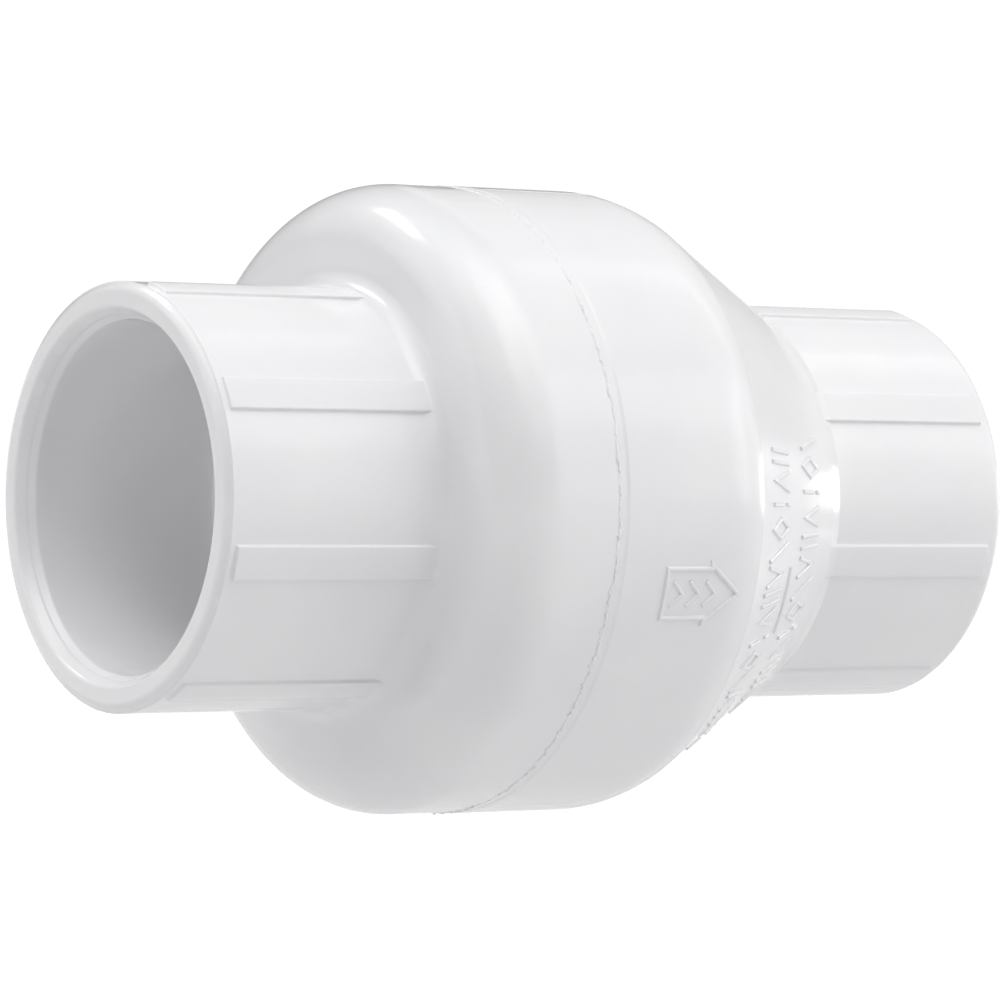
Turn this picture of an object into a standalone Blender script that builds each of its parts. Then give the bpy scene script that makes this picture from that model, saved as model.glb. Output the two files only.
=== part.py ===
"""A 1-1/2 inch PVC swing check valve with solvent sockets at both ends.

Millimetre dimensions below, metres in the scene. +X is the flow direction, +Z is up, and the
origin is the middle of the valve on its flow axis. Every turned outline is a list of (x, r)
corners about the flow axis; angles round that axis run from -Y towards +Z.
"""

import math

import bmesh
import bpy
from mathutils import Matrix, Vector

MM = 0.001
GAP = 0.3
OVERLAP = 1.0
FLUSH_STEP = 0.01
CUTTER_REACH = 20.0
SHARP_ANGLE = math.radians(35)
LARGE_SEGMENTS = 40
SMALL_SEGMENTS = 16

# Outer shape
LENGTH = 135.0
END_X = LENGTH / 2
INLET_HUB_R = 29.4
OUTLET_HUB_R = 28.85
INLET_BODY_R = 44.25
OUTLET_BODY_R = 44.4
END_ROUNDING = 1.7
INLET_WALL_X = -32.3
INLET_WALL_LEAN = 0.55
INLET_SHOULDER_ROUNDING = 8.8
INLET_HUB_FILLET = 3.0
OUTLET_HUB_FILLET = 2.0
SEAM_X = -14.4
CONE_START_X = 8.6
CONE_CREASE = (11.25, 43.1)
CONE_END_X = 36.1
CONE_ROUNDING = 13.8

# Grip ribs round each hub
RIB_COUNT = 8
RIB_PITCH = math.tau / RIB_COUNT
RIB_PHASE = math.radians(28.15)
RIB_HALF_ANGLE = math.radians(4.68)
RIB_DRAFT = math.radians(0.25)
RIB_HEIGHT = 0.5
RIB_RAMP = 0.3
INLET_RIB_X = (-65.7, -32.8)
OUTLET_RIB_X = (35.0, 64.8)

# Sockets and waterway
SOCKET_MOUTH_R = 24.28
SOCKET_END_R = 24.06
SOCKET_DEPTH = 31.75
MOUTH_CHAMFER_R = 25.9
MOUTH_CHAMFER_DEPTH = 2.2
SOCKET_END_X = END_X - SOCKET_DEPTH
BORE_R = 20.45
CHAMBER_R = 39.4
BULKHEAD_X = -27.0
BULKHEAD_ROUNDING = 3.0
WALL = 4.9
INNER_CONE_ROUNDING = 9.0
THROAT_START = (28.9, 27.2)
THROAT_START_ROUNDING = 4.0
THROAT_END_X = 33.2
THROAT_END_ROUNDING = 1.5

# Joint between the two body halves
SPIGOT_R = 41.5
SPIGOT_LENGTH = 5.0
BEAD_GROOVE = 0.65
BEAD_PROUD = 0.45
BEAD_CLEARANCE = 0.2

# Seat
SEAT_POCKET_R = 27.8
SEAT_POCKET_X = -31.5
SEAT_LIP_X = -25.4
SEAT_LIP_R = (21.3, 23.0)
SEAT_LIP_CHAMFER = 0.3
O_RING_R = 25.0
O_RING_SECTION_R = 0.9

# Hinge: the pin's axis runs along Y through this point
PIN_X = -15.0
PIN_Z = 31.0
PIN_R = 2.0
PIN_HALF_LENGTH = 18.0
PIN_GROOVE_Y = (15.2, 16.4)
PIN_GROOVE_R = 1.6
PIN_END_CHAMFER = 0.4
CLIP_THICKNESS = 0.6
CLIP_OUTER_R = 3.8
CLIP_OPENING = math.radians(110)
BUSH_R = 3.3
BUSH_FLANGE_R = 4.3
BUSH_FLANGE_Y = (11.2, 12.0)
EAR_Y = (12.3, 15.0)
EAR_R = 4.5
KNUCKLE_Y = (5.5, 10.9)
KNUCKLE_R = 5.0
BRACKET_HALF_WIDTH = EAR_Y[1]
BRACKET_X = (BULKHEAD_X + GAP, BULKHEAD_X + GAP + 2.5)
BRACKET_Z = (26.0, 32.4)
EAR_ROOT_STEP = 0.4
SHELF_HALF_WIDTH = 5.2
SHELF_X_END = -20.8
SHELF_Z = (25.4, 26.6)
BRACKET_SCREW_YZ = ((-9.0, 29.3), (9.0, 29.3))
SEAT_SCREW_RADIUS = 30.0
SEAT_SCREW_ANGLES = (math.radians(-35), math.radians(215))
SELF_TAPPER_R = 1.5
SELF_TAPPER_HEAD_R = 2.8
SELF_TAPPER_HEAD_HEIGHT = 2.2
SELF_TAPPER_TIP_X = -30.0
SELF_TAPPER_TIP_R = 0.9
SELF_TAPPER_TIP_TAPER = 1.0
SELF_TAPPER_DOME = ((0.8, 2.8), (0.2, 2.1), (0.0, 1.0))

# Torsion spring
WIRE_R = 0.5
COIL_R = 3.5
COIL_TURNS = 6.0
COIL_HALF_LENGTH = 3.9
COIL_STEPS = 10
SPRING_ARM_LEG_Z = 17.0
SPRING_FIXED_LEG_X = -22.6

# Clapper, from the upstream face to the nut
RETAINER_R = 18.5
RETAINER_X = (-26.9, -25.4)
SEAL_R = 24.5
SEAL_X = (-25.1, -22.1)
DISC_R = 24.0
DISC_EDGE_ROUNDING = 0.8
DISC_X = (-21.8, -18.8)
DISC_BOSS_R = 7.0
DISC_BOSS_TAPER = 0.4
DISC_BOSS_X = -16.9
DISC_RIB_COUNT = 8
DISC_RIB_X = -17.3
DISC_RIB_HALF_WIDTH = 0.8
DISC_RIB_REACH = 22.0
SLEEVE_R = 3.5
SLEEVE_X = (-16.6, -11.3)
ARM_X = (-16.4, -12.0)
ARM_EYE_R = 7.0
ARM_HALF_WIDTH = 5.0
ARM_FORK_HALF_WIDTH = 9.8
ARM_CROTCH_Z = 25.6
ARM_SHANK_Z = (17.0, 24.0)
WASHER_R = 6.0
WASHER_X = (-11.0, -10.0)
NUT_ACROSS_FLATS = 8.0
NUT_X = (-9.7, -6.5)
STUD_R = 2.5
STUD_TIP_X = -5.8
STUD_TIP_CHAMFER = 0.4
STUD_HEAD_X = (-29.9, -27.2)
STUD_HEAD_DOME = ((0.0, 1.84), (0.3, 3.45), (1.1, 4.6))

# Fully open stop: a post on the chamber's ceiling that the arm's back meets
OPEN_ANGLE = math.radians(72)
STOP_REACH = (16.0, 20.0)
STOP_HALF_WIDTH = 3.5
STOP_ROOT_Z = 40.6


# ---------------------------------------------------------------- materials


def material(name, colour, roughness, metallic=0.0):
    made = bpy.data.materials.new(name)
    made.use_nodes = True
    shader = made.node_tree.nodes["Principled BSDF"]
    shader.inputs["Base Color"].default_value = (*colour, 1.0)
    shader.inputs["Roughness"].default_value = roughness
    shader.inputs["Metallic"].default_value = metallic
    return made


def make_materials():
    return {
        "white_pvc": material("white_pvc", (0.86, 0.87, 0.88), 0.22),
        "weld_pvc": material("weld_pvc", (0.82, 0.83, 0.84), 0.45),
        "grey_pvc": material("grey_pvc", (0.34, 0.35, 0.37), 0.35),
        "black_epdm": material("black_epdm", (0.02, 0.02, 0.022), 0.6),
        "white_acetal": material("white_acetal", (0.78, 0.77, 0.73), 0.35),
        "stainless": material("stainless", (0.62, 0.61, 0.59), 0.25, 1.0),
    }


# ---------------------------------------------------------------- outlines


def arc_points(centre, radius, start, end, steps):
    """Points on an arc from angle start to angle end, both included."""
    angles = [start + (end - start) * i / steps for i in range(steps + 1)]
    return [(centre[0] + radius * math.cos(a), centre[1] + radius * math.sin(a)) for a in angles]


def rounded(corners, step=math.radians(30)):
    """A closed outline from (x, r, rounding) corners, with an arc wherever rounding isn't 0."""
    points = []
    count = len(corners)
    for i, (x, r, rounding) in enumerate(corners):
        here = Vector((x, r))
        if rounding == 0:
            points.append((x, r))
            continue
        before = (Vector(corners[i - 1][:2]) - here).normalized()
        after = (Vector(corners[(i + 1) % count][:2]) - here).normalized()
        half = before.angle(after) / 2
        centre = here + (before + after).normalized() * rounding / math.sin(half)
        start = here + before * rounding / math.tan(half) - centre
        end = here + after * rounding / math.tan(half) - centre
        turn = start.angle_signed(end)
        first = math.atan2(start.y, start.x)
        steps = max(2, math.ceil(abs(turn) / step))
        points += arc_points(centre, rounding, first, first - turn, steps)
    return points


def even_angles(count):
    return [math.tau * i / count for i in range(count)]


def body_columns():
    """(angle, is on a rib's top) round a body half: rib edges, a column on each main axis, and fillers."""
    axis = RIB_PITCH - RIB_PHASE
    rib_foot = RIB_HALF_ANGLE + RIB_DRAFT
    rib_top = RIB_HALF_ANGLE - RIB_DRAFT
    next_foot = RIB_PITCH - rib_foot
    third = (next_foot - axis) / 3
    offsets = [
        (-rib_foot, False),
        (-rib_top, True),
        (rib_top, True),
        (rib_foot, False),
        ((rib_foot + axis) / 2, False),
        (axis, False),
        (axis + third, False),
        (axis + 2 * third, False),
    ]
    return [
        (RIB_PHASE + k * RIB_PITCH + offset, on_top)
        for k in range(RIB_COUNT)
        for offset, on_top in offsets
    ]


# ---------------------------------------------------------------- meshes


def add_object(name, mesh, slot, at=(0, 0, 0)):
    """Links a mesh that is in millimetres as an object placed at a point in millimetres."""
    mesh.transform(Matrix.Scale(MM, 4))
    obj = bpy.data.objects.new(name, mesh)
    obj.location = Vector(at) * MM
    bpy.context.scene.collection.objects.link(obj)
    if slot is not None:
        mesh.materials.append(slot)
    mesh.shade_smooth()
    mesh.set_sharp_from_angle(angle=SHARP_ANGLE)
    return obj


def to_mesh(name, bm):
    bmesh.ops.recalc_face_normals(bm, faces=bm.faces)
    mesh = bpy.data.meshes.new(name)
    bm.to_mesh(mesh)
    bm.free()
    return mesh


def turned(name, rings, closed_outline=True):
    """A mesh from rings of points: rings[c] is the outline at column c. A point on the axis is shared."""
    bm = bmesh.new()
    shared = {}
    columns = []
    for ring in rings:
        column = []
        for i, point in enumerate(ring):
            on_axis = abs(point[1]) < 1e-9 and abs(point[2]) < 1e-9
            if on_axis and i not in shared:
                shared[i] = bm.verts.new(point)
            column.append(shared[i] if on_axis else bm.verts.new(point))
        columns.append(column)
    length = len(columns[0])
    spans = length if closed_outline else length - 1
    for c, column in enumerate(columns):
        other = columns[(c + 1) % len(columns)]
        for i in range(spans):
            j = (i + 1) % length
            corners = []
            for vert in (column[i], column[j], other[j], other[i]):
                if vert not in corners:
                    corners.append(vert)
            if len(corners) > 2:
                bm.faces.new(corners)
    return to_mesh(name, bm)


def around_x(x, r, angle):
    return (x, -r * math.cos(angle), r * math.sin(angle))


def turned_about_x(name, outline, segments):
    """A solid of revolution about X. Outlines that start and end on the axis are solid right through."""
    on_axis = outline[0][1] == 0
    rings = [[around_x(x, r, a) for x, r in outline] for a in even_angles(segments)]
    return turned(name, rings, closed_outline=not on_axis)


def turned_about_y(name, outline, segments):
    """The same about Y: outline points are (y, r)."""
    mesh = turned_about_x(name, outline, segments)
    mesh.transform(Matrix.Rotation(math.radians(90), 4, "Z"))
    return mesh


def prism(name, outline, axis, low, high):
    """An outline in the other two axes, extruded along X or Y between two positions."""
    bm = bmesh.new()
    layers = []
    for level in (low, high):
        if axis == "X":
            layers.append([bm.verts.new((level, a, b)) for a, b in outline])
        else:
            layers.append([bm.verts.new((a, level, b)) for a, b in outline])
    bm.faces.new(layers[0])
    bm.faces.new(layers[1])
    for i in range(len(outline)):
        j = (i + 1) % len(outline)
        bm.faces.new((layers[0][i], layers[0][j], layers[1][j], layers[1][i]))
    return to_mesh(name, bm)


def disc_outline(x_low, x_high, radius):
    """The outline of a plain solid cylinder."""
    return [(x_low, 0), (x_low, radius), (x_high, radius), (x_high, 0)]


def ring_outline(x_low, x_high, inner, outer, edge=0.0):
    """The outline of a plain ring, with its outer edges rounded."""
    corners = [(x_low, inner, 0), (x_low, outer, edge), (x_high, outer, edge), (x_high, inner, 0)]
    return rounded(corners, step=math.radians(45))


def combine(target, operation, tool_mesh):
    """Joins a tool mesh to an object, or cuts it away. The tool stays in the scene as a hidden guide."""
    tool = add_object(tool_mesh.name, tool_mesh, None)
    tool.display_type = "WIRE"
    tool.hide_render = True
    modifier = target.modifiers.new(tool.name, "BOOLEAN")
    modifier.operation = operation
    modifier.solver = "EXACT"
    modifier.object = tool
    return tool


# ---------------------------------------------------------------- body halves


def body_half(name, outline, rib_x, hub_r, slot):
    """A turned half whose hub carries the grip ribs: on a rib's columns the outline is lifted."""
    top = hub_r + RIB_HEIGHT
    rings = []
    for angle, on_top in body_columns():
        ring = []
        for x, r in outline:
            lifted = on_top and rib_x[0] < x < rib_x[1] and r > hub_r - GAP
            ring.append(around_x(x, max(r, top) if lifted else r, angle))
        rings.append(ring)
    return add_object(name, turned(name, rings), slot)


def make_inlet_body(slots):
    wall_top_x = INLET_WALL_X + INLET_WALL_LEAN
    outline = rounded(
        [
            (-END_X, MOUTH_CHAMFER_R, 0),
            (-END_X, INLET_HUB_R, END_ROUNDING),
            (INLET_RIB_X[0], INLET_HUB_R, 0),
            (INLET_RIB_X[0] + RIB_RAMP, INLET_HUB_R, 0),
            (INLET_WALL_X, INLET_HUB_R, INLET_HUB_FILLET),
            (wall_top_x, INLET_BODY_R, INLET_SHOULDER_ROUNDING),
            (SEAM_X - BEAD_GROOVE, INLET_BODY_R, 0),
            (SEAM_X, INLET_BODY_R - BEAD_GROOVE, 0),
            (SEAM_X, SPIGOT_R, 0),
            (SEAM_X + SPIGOT_LENGTH, SPIGOT_R, 0),
            (SEAM_X + SPIGOT_LENGTH, CHAMBER_R, 0),
            (BULKHEAD_X, CHAMBER_R, BULKHEAD_ROUNDING),
            (BULKHEAD_X, SEAT_POCKET_R, 0),
            (SEAT_POCKET_X, SEAT_POCKET_R, 0),
            (SEAT_POCKET_X, BORE_R, 0),
            (-SOCKET_END_X, BORE_R, 0),
            (-SOCKET_END_X, SOCKET_END_R, 0),
            (MOUTH_CHAMFER_DEPTH - END_X, SOCKET_MOUTH_R, 0),
        ]
    )
    body = body_half("inlet_body", outline, INLET_RIB_X, INLET_HUB_R, slots["white_pvc"])
    for i, (y, z) in enumerate(BRACKET_SCREW_YZ + seat_screw_places()):
        hole = turned_about_x(
            f"screw_hole_{i}",
            disc_outline(SELF_TAPPER_TIP_X - GAP, BULKHEAD_X + OVERLAP, SELF_TAPPER_R + GAP),
            SMALL_SEGMENTS,
        )
        hole.transform(Matrix.Translation((0, y, z)))
        combine(body, "DIFFERENCE", hole)
    return body


def stop_post():
    """A wedge on the chamber's ceiling. Its lower face lies just above the arm's back at full opening."""
    back = ARM_X[1] - PIN_X + GAP

    def under(reach):
        x = PIN_X + back * math.cos(OPEN_ANGLE) + reach * math.sin(OPEN_ANGLE)
        z = PIN_Z + back * math.sin(OPEN_ANGLE) - reach * math.cos(OPEN_ANGLE)
        return (x, z)

    near, far = under(STOP_REACH[0]), under(STOP_REACH[1])
    outline = [near, far, (far[0], STOP_ROOT_Z), (near[0], STOP_ROOT_Z)]
    return prism("stop_post", outline, "Y", -STOP_HALF_WIDTH, STOP_HALF_WIDTH)


def make_outlet_body(slots):
    seam_x = SEAM_X + GAP
    cone_slope = (CONE_CREASE[1] - OUTLET_HUB_R) / (CONE_END_X - CONE_CREASE[0])
    wall_r = WALL * math.hypot(1, cone_slope)
    inner_cone_x = CONE_CREASE[0] - (CHAMBER_R - CONE_CREASE[1] + wall_r) / cone_slope
    outline = rounded(
        [
            (seam_x, OUTLET_BODY_R - BEAD_GROOVE, 0),
            (seam_x + BEAD_GROOVE, OUTLET_BODY_R, 0),
            (CONE_START_X, OUTLET_BODY_R, CONE_ROUNDING),
            (*CONE_CREASE, 0),
            (CONE_END_X, OUTLET_HUB_R, OUTLET_HUB_FILLET),
            (OUTLET_RIB_X[1] - RIB_RAMP, OUTLET_HUB_R, 0),
            (OUTLET_RIB_X[1], OUTLET_HUB_R, 0),
            (END_X, OUTLET_HUB_R, END_ROUNDING),
            (END_X, MOUTH_CHAMFER_R, 0),
            (END_X - MOUTH_CHAMFER_DEPTH, SOCKET_MOUTH_R, 0),
            (SOCKET_END_X, SOCKET_END_R, 0),
            (SOCKET_END_X, BORE_R, 0),
            (THROAT_END_X, BORE_R, THROAT_END_ROUNDING),
            (*THROAT_START, THROAT_START_ROUNDING),
            (inner_cone_x, CHAMBER_R, INNER_CONE_ROUNDING),
            (seam_x + SPIGOT_LENGTH, CHAMBER_R, 0),
            (seam_x + SPIGOT_LENGTH, SPIGOT_R + GAP, 0),
            (seam_x, SPIGOT_R + GAP, 0),
        ]
    )
    body = body_half("outlet_body", outline, OUTLET_RIB_X, OUTLET_HUB_R, slots["white_pvc"])
    combine(body, "UNION", stop_post())
    return body


def make_weld_bead(slots):
    """The squeezed-out ring of plastic in the groove where the two halves are joined."""
    middle = SEAM_X + GAP / 2
    outline = [
        (middle, INLET_BODY_R - BEAD_GROOVE + BEAD_CLEARANCE),
        (middle - BEAD_GROOVE, INLET_BODY_R + BEAD_CLEARANCE),
        (middle, INLET_BODY_R + BEAD_PROUD),
        (middle + BEAD_GROOVE, OUTLET_BODY_R + BEAD_CLEARANCE),
    ]
    rings = [[around_x(x, r, angle) for x, r in outline] for angle, _ in body_columns()]
    return add_object("weld_bead", turned("weld_bead", rings), slots["weld_pvc"])


# ---------------------------------------------------------------- seat


def make_seat_ring(slots):
    lip_in, lip_out = SEAT_LIP_R
    back = SEAT_POCKET_X + GAP
    groove = O_RING_SECTION_R + GAP
    groove_x = back + 2 * O_RING_SECTION_R + GAP
    outline = [
        (back, BORE_R),
        (back, O_RING_R - groove),
        (groove_x, O_RING_R - groove),
        (groove_x, O_RING_R + groove),
        (back, O_RING_R + groove),
        (back, SEAT_POCKET_R - GAP),
        (BULKHEAD_X, SEAT_POCKET_R - GAP),
        (BULKHEAD_X, lip_out),
        (SEAT_LIP_X - SEAT_LIP_CHAMFER, lip_out),
        (SEAT_LIP_X, (lip_in + lip_out) / 2),
        (SEAT_LIP_X - SEAT_LIP_CHAMFER, lip_in),
        (BULKHEAD_X, BORE_R),
    ]
    return add_object("seat_ring", turned_about_x("seat_ring", outline, LARGE_SEGMENTS), slots["grey_pvc"])


def make_seat_o_ring(slots):
    centre = (SEAT_POCKET_X + GAP + O_RING_SECTION_R, O_RING_R)
    outline = arc_points(centre, O_RING_SECTION_R, 0, math.tau * 5 / 6, 5)
    mesh = turned_about_x("seat_o_ring", outline, LARGE_SEGMENTS)
    return add_object("seat_o_ring", mesh, slots["black_epdm"])


def seat_screw_places():
    """(y, z) of the two screws whose heads clamp the seat ring's edge."""
    return tuple(
        (SEAT_SCREW_RADIUS * math.cos(a), SEAT_SCREW_RADIUS * math.sin(a)) for a in SEAT_SCREW_ANGLES
    )


def make_self_tapper(name, head_x, place, slots):
    """A pan head screw along X, its head's underside at head_x."""
    head_top = head_x + SELF_TAPPER_HEAD_HEIGHT
    outline = [
        (SELF_TAPPER_TIP_X, 0),
        (SELF_TAPPER_TIP_X, SELF_TAPPER_TIP_R),
        (SELF_TAPPER_TIP_X + SELF_TAPPER_TIP_TAPER, SELF_TAPPER_R),
        (head_x, SELF_TAPPER_R),
        (head_x, SELF_TAPPER_HEAD_R),
        *[(head_top - down, r) for down, r in SELF_TAPPER_DOME],
        (head_top, 0),
    ]
    mesh = turned_about_x(name, outline, SMALL_SEGMENTS)
    return add_object(name, mesh, slots["stainless"], at=(0, *place))


# ---------------------------------------------------------------- hinge


def ear_outline():
    """The side view of one ear, (x, z): a root in the plate, widening to a round end about the pin."""
    nose = arc_points((PIN_X, PIN_Z), EAR_R, math.radians(-105), math.radians(95), 8)
    root_x = BRACKET_X[0] + OVERLAP
    return [(root_x, BRACKET_Z[0] + EAR_ROOT_STEP), *nose, (root_x, BRACKET_Z[1] - EAR_ROOT_STEP)]


def box_mesh(name, x, y, z):
    outline = [(y[0], z[0]), (y[1], z[0]), (y[1], z[1]), (y[0], z[1])]
    return prism(name, outline, "X", *x)


def make_hinge_bracket(slots):
    plate = box_mesh("hinge_bracket", BRACKET_X, (-BRACKET_HALF_WIDTH, BRACKET_HALF_WIDTH), BRACKET_Z)
    bracket = add_object("hinge_bracket", plate, slots["grey_pvc"])
    for side, sign in (("left", -1), ("right", 1)):
        low, high = sorted((sign * EAR_Y[0], sign * (EAR_Y[1] - FLUSH_STEP)))
        combine(bracket, "UNION", prism(f"ear_{side}", ear_outline(), "Y", low, high))
    shelf_x = (BRACKET_X[0] + OVERLAP, SHELF_X_END)
    shelf_y = (-SHELF_HALF_WIDTH, SHELF_HALF_WIDTH)
    combine(bracket, "UNION", box_mesh("spring_shelf", shelf_x, shelf_y, SHELF_Z))
    pin_hole = turned_about_y(
        "ear_bore", disc_outline(-CUTTER_REACH, CUTTER_REACH, PIN_R + GAP), SMALL_SEGMENTS
    )
    pin_hole.transform(Matrix.Translation((PIN_X, 0, PIN_Z)))
    combine(bracket, "DIFFERENCE", pin_hole)
    for i, (y, z) in enumerate(BRACKET_SCREW_YZ):
        hole = turned_about_x(
            f"bracket_hole_{i}",
            disc_outline(BRACKET_X[0] - OVERLAP, BRACKET_X[1] + OVERLAP, SELF_TAPPER_R + GAP),
            SMALL_SEGMENTS,
        )
        hole.transform(Matrix.Translation((0, y, z)))
        combine(bracket, "DIFFERENCE", hole)
    return bracket


def make_hinge_pin(slots):
    near, far = PIN_GROOVE_Y
    right = [
        (near, PIN_R),
        (near, PIN_GROOVE_R),
        (far, PIN_GROOVE_R),
        (far, PIN_R),
        (PIN_HALF_LENGTH - PIN_END_CHAMFER, PIN_R),
        (PIN_HALF_LENGTH, PIN_R - PIN_END_CHAMFER),
        (PIN_HALF_LENGTH, 0),
    ]
    left = [(-y, r) for y, r in reversed(right)]
    mesh = turned_about_y("hinge_pin", left + right, SMALL_SEGMENTS)
    return add_object("hinge_pin", mesh, slots["stainless"], at=(PIN_X, 0, PIN_Z))


def make_pin_clip(side, sign, slots):
    """An open retaining clip in the pin's groove, its gap facing down."""
    half = (math.tau - CLIP_OPENING) / 2
    up = math.radians(90)
    outer = arc_points((0, 0), CLIP_OUTER_R, up - half, up + half, 12)
    inner = arc_points((0, 0), PIN_GROOVE_R + GAP, up + half, up - half, 12)
    middle = sign * sum(PIN_GROOVE_Y) / 2
    name = f"pin_clip_{side}"
    mesh = prism(name, outer + inner, "Y", middle - CLIP_THICKNESS / 2, middle + CLIP_THICKNESS / 2)
    return add_object(name, mesh, slots["stainless"], at=(PIN_X, 0, PIN_Z))


def make_hinge_bush(side, sign, slots):
    """A flanged bush in one knuckle of the arm, turning on the pin."""
    flange_in, flange_out = BUSH_FLANGE_Y
    bore = PIN_R + GAP
    outline = [
        (KNUCKLE_Y[0] + 0.1, bore),
        (KNUCKLE_Y[0] + 0.1, BUSH_R),
        (flange_in, BUSH_R),
        (flange_in, BUSH_FLANGE_R),
        (flange_out, BUSH_FLANGE_R),
        (flange_out, bore),
    ]
    name = f"hinge_bush_{side}"
    mesh = turned_about_y(name, [(sign * y, r) for y, r in outline], SMALL_SEGMENTS)
    return add_object(name, mesh, slots["white_acetal"], at=(PIN_X, 0, PIN_Z))


def tube(name, path, radius, sides):
    """A capped tube through points, all in millimetres."""
    bm = bmesh.new()
    rings = []
    normal = Vector((0, 0, 1))
    for i, point in enumerate(path):
        ahead = path[min(i + 1, len(path) - 1)] - path[max(i - 1, 0)]
        tangent = ahead.normalized()
        normal = (normal - tangent * normal.dot(tangent)).normalized()
        side = tangent.cross(normal)
        angles = even_angles(sides)
        ring = [point + (normal * math.cos(a) + side * math.sin(a)) * radius for a in angles]
        rings.append([bm.verts.new(v) for v in ring])
    for one, two in zip(rings, rings[1:]):
        for i in range(sides):
            j = (i + 1) % sides
            bm.faces.new((one[i], one[j], two[j], two[i]))
    bm.faces.new(rings[0])
    bm.faces.new(rings[-1])
    return to_mesh(name, bm)


def spring_path():
    """From the fixed leg's end on the shelf, round the coil, down to the leg on the arm's back."""
    start = math.radians(-90)
    total = COIL_TURNS * math.tau + math.radians(90)
    steps = int(COIL_TURNS * COIL_STEPS) + COIL_STEPS // 4
    path = [Vector((SPRING_FIXED_LEG_X - PIN_X, -COIL_HALF_LENGTH, -COIL_R))]
    for i in range(steps + 1):
        angle = start + total * i / steps
        y = COIL_HALF_LENGTH * (2 * i / steps - 1)
        path.append(Vector((COIL_R * math.cos(angle), y, COIL_R * math.sin(angle))))
    leg_x = ARM_X[1] + GAP + WIRE_R - PIN_X
    path.append(Vector((leg_x, COIL_HALF_LENGTH, -COIL_R)))
    path.append(Vector((leg_x, COIL_HALF_LENGTH, SPRING_ARM_LEG_Z - PIN_Z)))
    return path


def make_torsion_spring(slots):
    mesh = tube("torsion_spring", spring_path(), WIRE_R, 6)
    return add_object("torsion_spring", mesh, slots["stainless"], at=(PIN_X, 0, PIN_Z))


# ---------------------------------------------------------------- clapper


def arm_outline():
    """The arm seen along the flow, (y, z): a round eye, a straight shank and a two-pronged fork."""
    eye_top = math.asin(ARM_HALF_WIDTH / ARM_EYE_R)
    eye = arc_points((0, 0), ARM_EYE_R, math.radians(90) + eye_top, math.radians(450) - eye_top, 16)
    prong_in = KNUCKLE_Y[0] + FLUSH_STEP
    right = [
        (ARM_HALF_WIDTH, ARM_SHANK_Z[0]),
        (ARM_FORK_HALF_WIDTH, ARM_SHANK_Z[1]),
        (ARM_FORK_HALF_WIDTH, PIN_Z),
        (prong_in, PIN_Z),
        (prong_in, ARM_CROTCH_Z),
    ]
    return eye + right + [(-y, z) for y, z in reversed(right)]


def make_clapper_arm(slots):
    mesh = prism("clapper_arm", arm_outline(), "X", *ARM_X)
    mesh.transform(Matrix.Translation((-PIN_X, 0, -PIN_Z)))
    arm = add_object("clapper_arm", mesh, slots["grey_pvc"], at=(PIN_X, 0, PIN_Z))
    for side, sign in (("left", -1), ("right", 1)):
        low, high = sorted((sign * KNUCKLE_Y[0], sign * KNUCKLE_Y[1]))
        knuckle = turned_about_y(f"knuckle_{side}", disc_outline(low, high, KNUCKLE_R), SMALL_SEGMENTS)
        knuckle.transform(Matrix.Translation((PIN_X, 0, PIN_Z)))
        combine(arm, "UNION", knuckle)
    bore = turned_about_y(
        "knuckle_bore", disc_outline(-CUTTER_REACH, CUTTER_REACH, BUSH_R + GAP), SMALL_SEGMENTS
    )
    bore.transform(Matrix.Translation((PIN_X, 0, PIN_Z)))
    combine(arm, "DIFFERENCE", bore)
    eye = turned_about_x(
        "eye_bore", disc_outline(ARM_X[0] - OVERLAP, ARM_X[1] + OVERLAP, SLEEVE_R + GAP), SMALL_SEGMENTS
    )
    combine(arm, "DIFFERENCE", eye)
    return arm


def make_clapper_disc(slots):
    """The stiff disc behind the seal, with a boss and radial ribs on its back."""
    hole = STUD_R + GAP
    outline = rounded(
        [
            (DISC_X[0], hole, 0),
            (DISC_X[0], DISC_R, 0),
            (DISC_X[1], DISC_R, DISC_EDGE_ROUNDING),
            (DISC_X[1], DISC_BOSS_R, 0),
            (DISC_BOSS_X, DISC_BOSS_R - DISC_BOSS_TAPER, 0),
            (DISC_BOSS_X, hole, 0),
        ],
        step=math.radians(45),
    )
    mesh = turned_about_x("clapper_disc", outline, LARGE_SEGMENTS)
    disc = add_object("clapper_disc", mesh, slots["white_pvc"])
    for i in range(DISC_RIB_COUNT // 2):
        bar = box_mesh(
            f"disc_rib_{i}",
            (DISC_X[1] - OVERLAP, DISC_RIB_X),
            (-DISC_RIB_HALF_WIDTH, DISC_RIB_HALF_WIDTH),
            (-DISC_RIB_REACH, DISC_RIB_REACH),
        )
        bar.transform(Matrix.Rotation(math.pi * (i + 0.5) / (DISC_RIB_COUNT // 2), 4, "X"))
        combine(disc, "UNION", bar)
    stud_bore = disc_outline(DISC_X[0] - OVERLAP, DISC_BOSS_X + OVERLAP, hole)
    combine(disc, "DIFFERENCE", turned_about_x("disc_bore", stud_bore, LARGE_SEGMENTS))
    return disc


def make_clapper_ring(name, x, radius, slot, edge=0.0):
    """A plain ring of the clapper's stack, with the stud's hole through it."""
    outline = ring_outline(*x, STUD_R + GAP, radius, edge)
    return add_object(name, turned_about_x(name, outline, LARGE_SEGMENTS), slot)


def make_stud_sleeve(slots):
    outline = ring_outline(*SLEEVE_X, STUD_R + GAP, SLEEVE_R)
    mesh = turned_about_x("stud_sleeve", outline, SMALL_SEGMENTS)
    return add_object("stud_sleeve", mesh, slots["stainless"])


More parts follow.
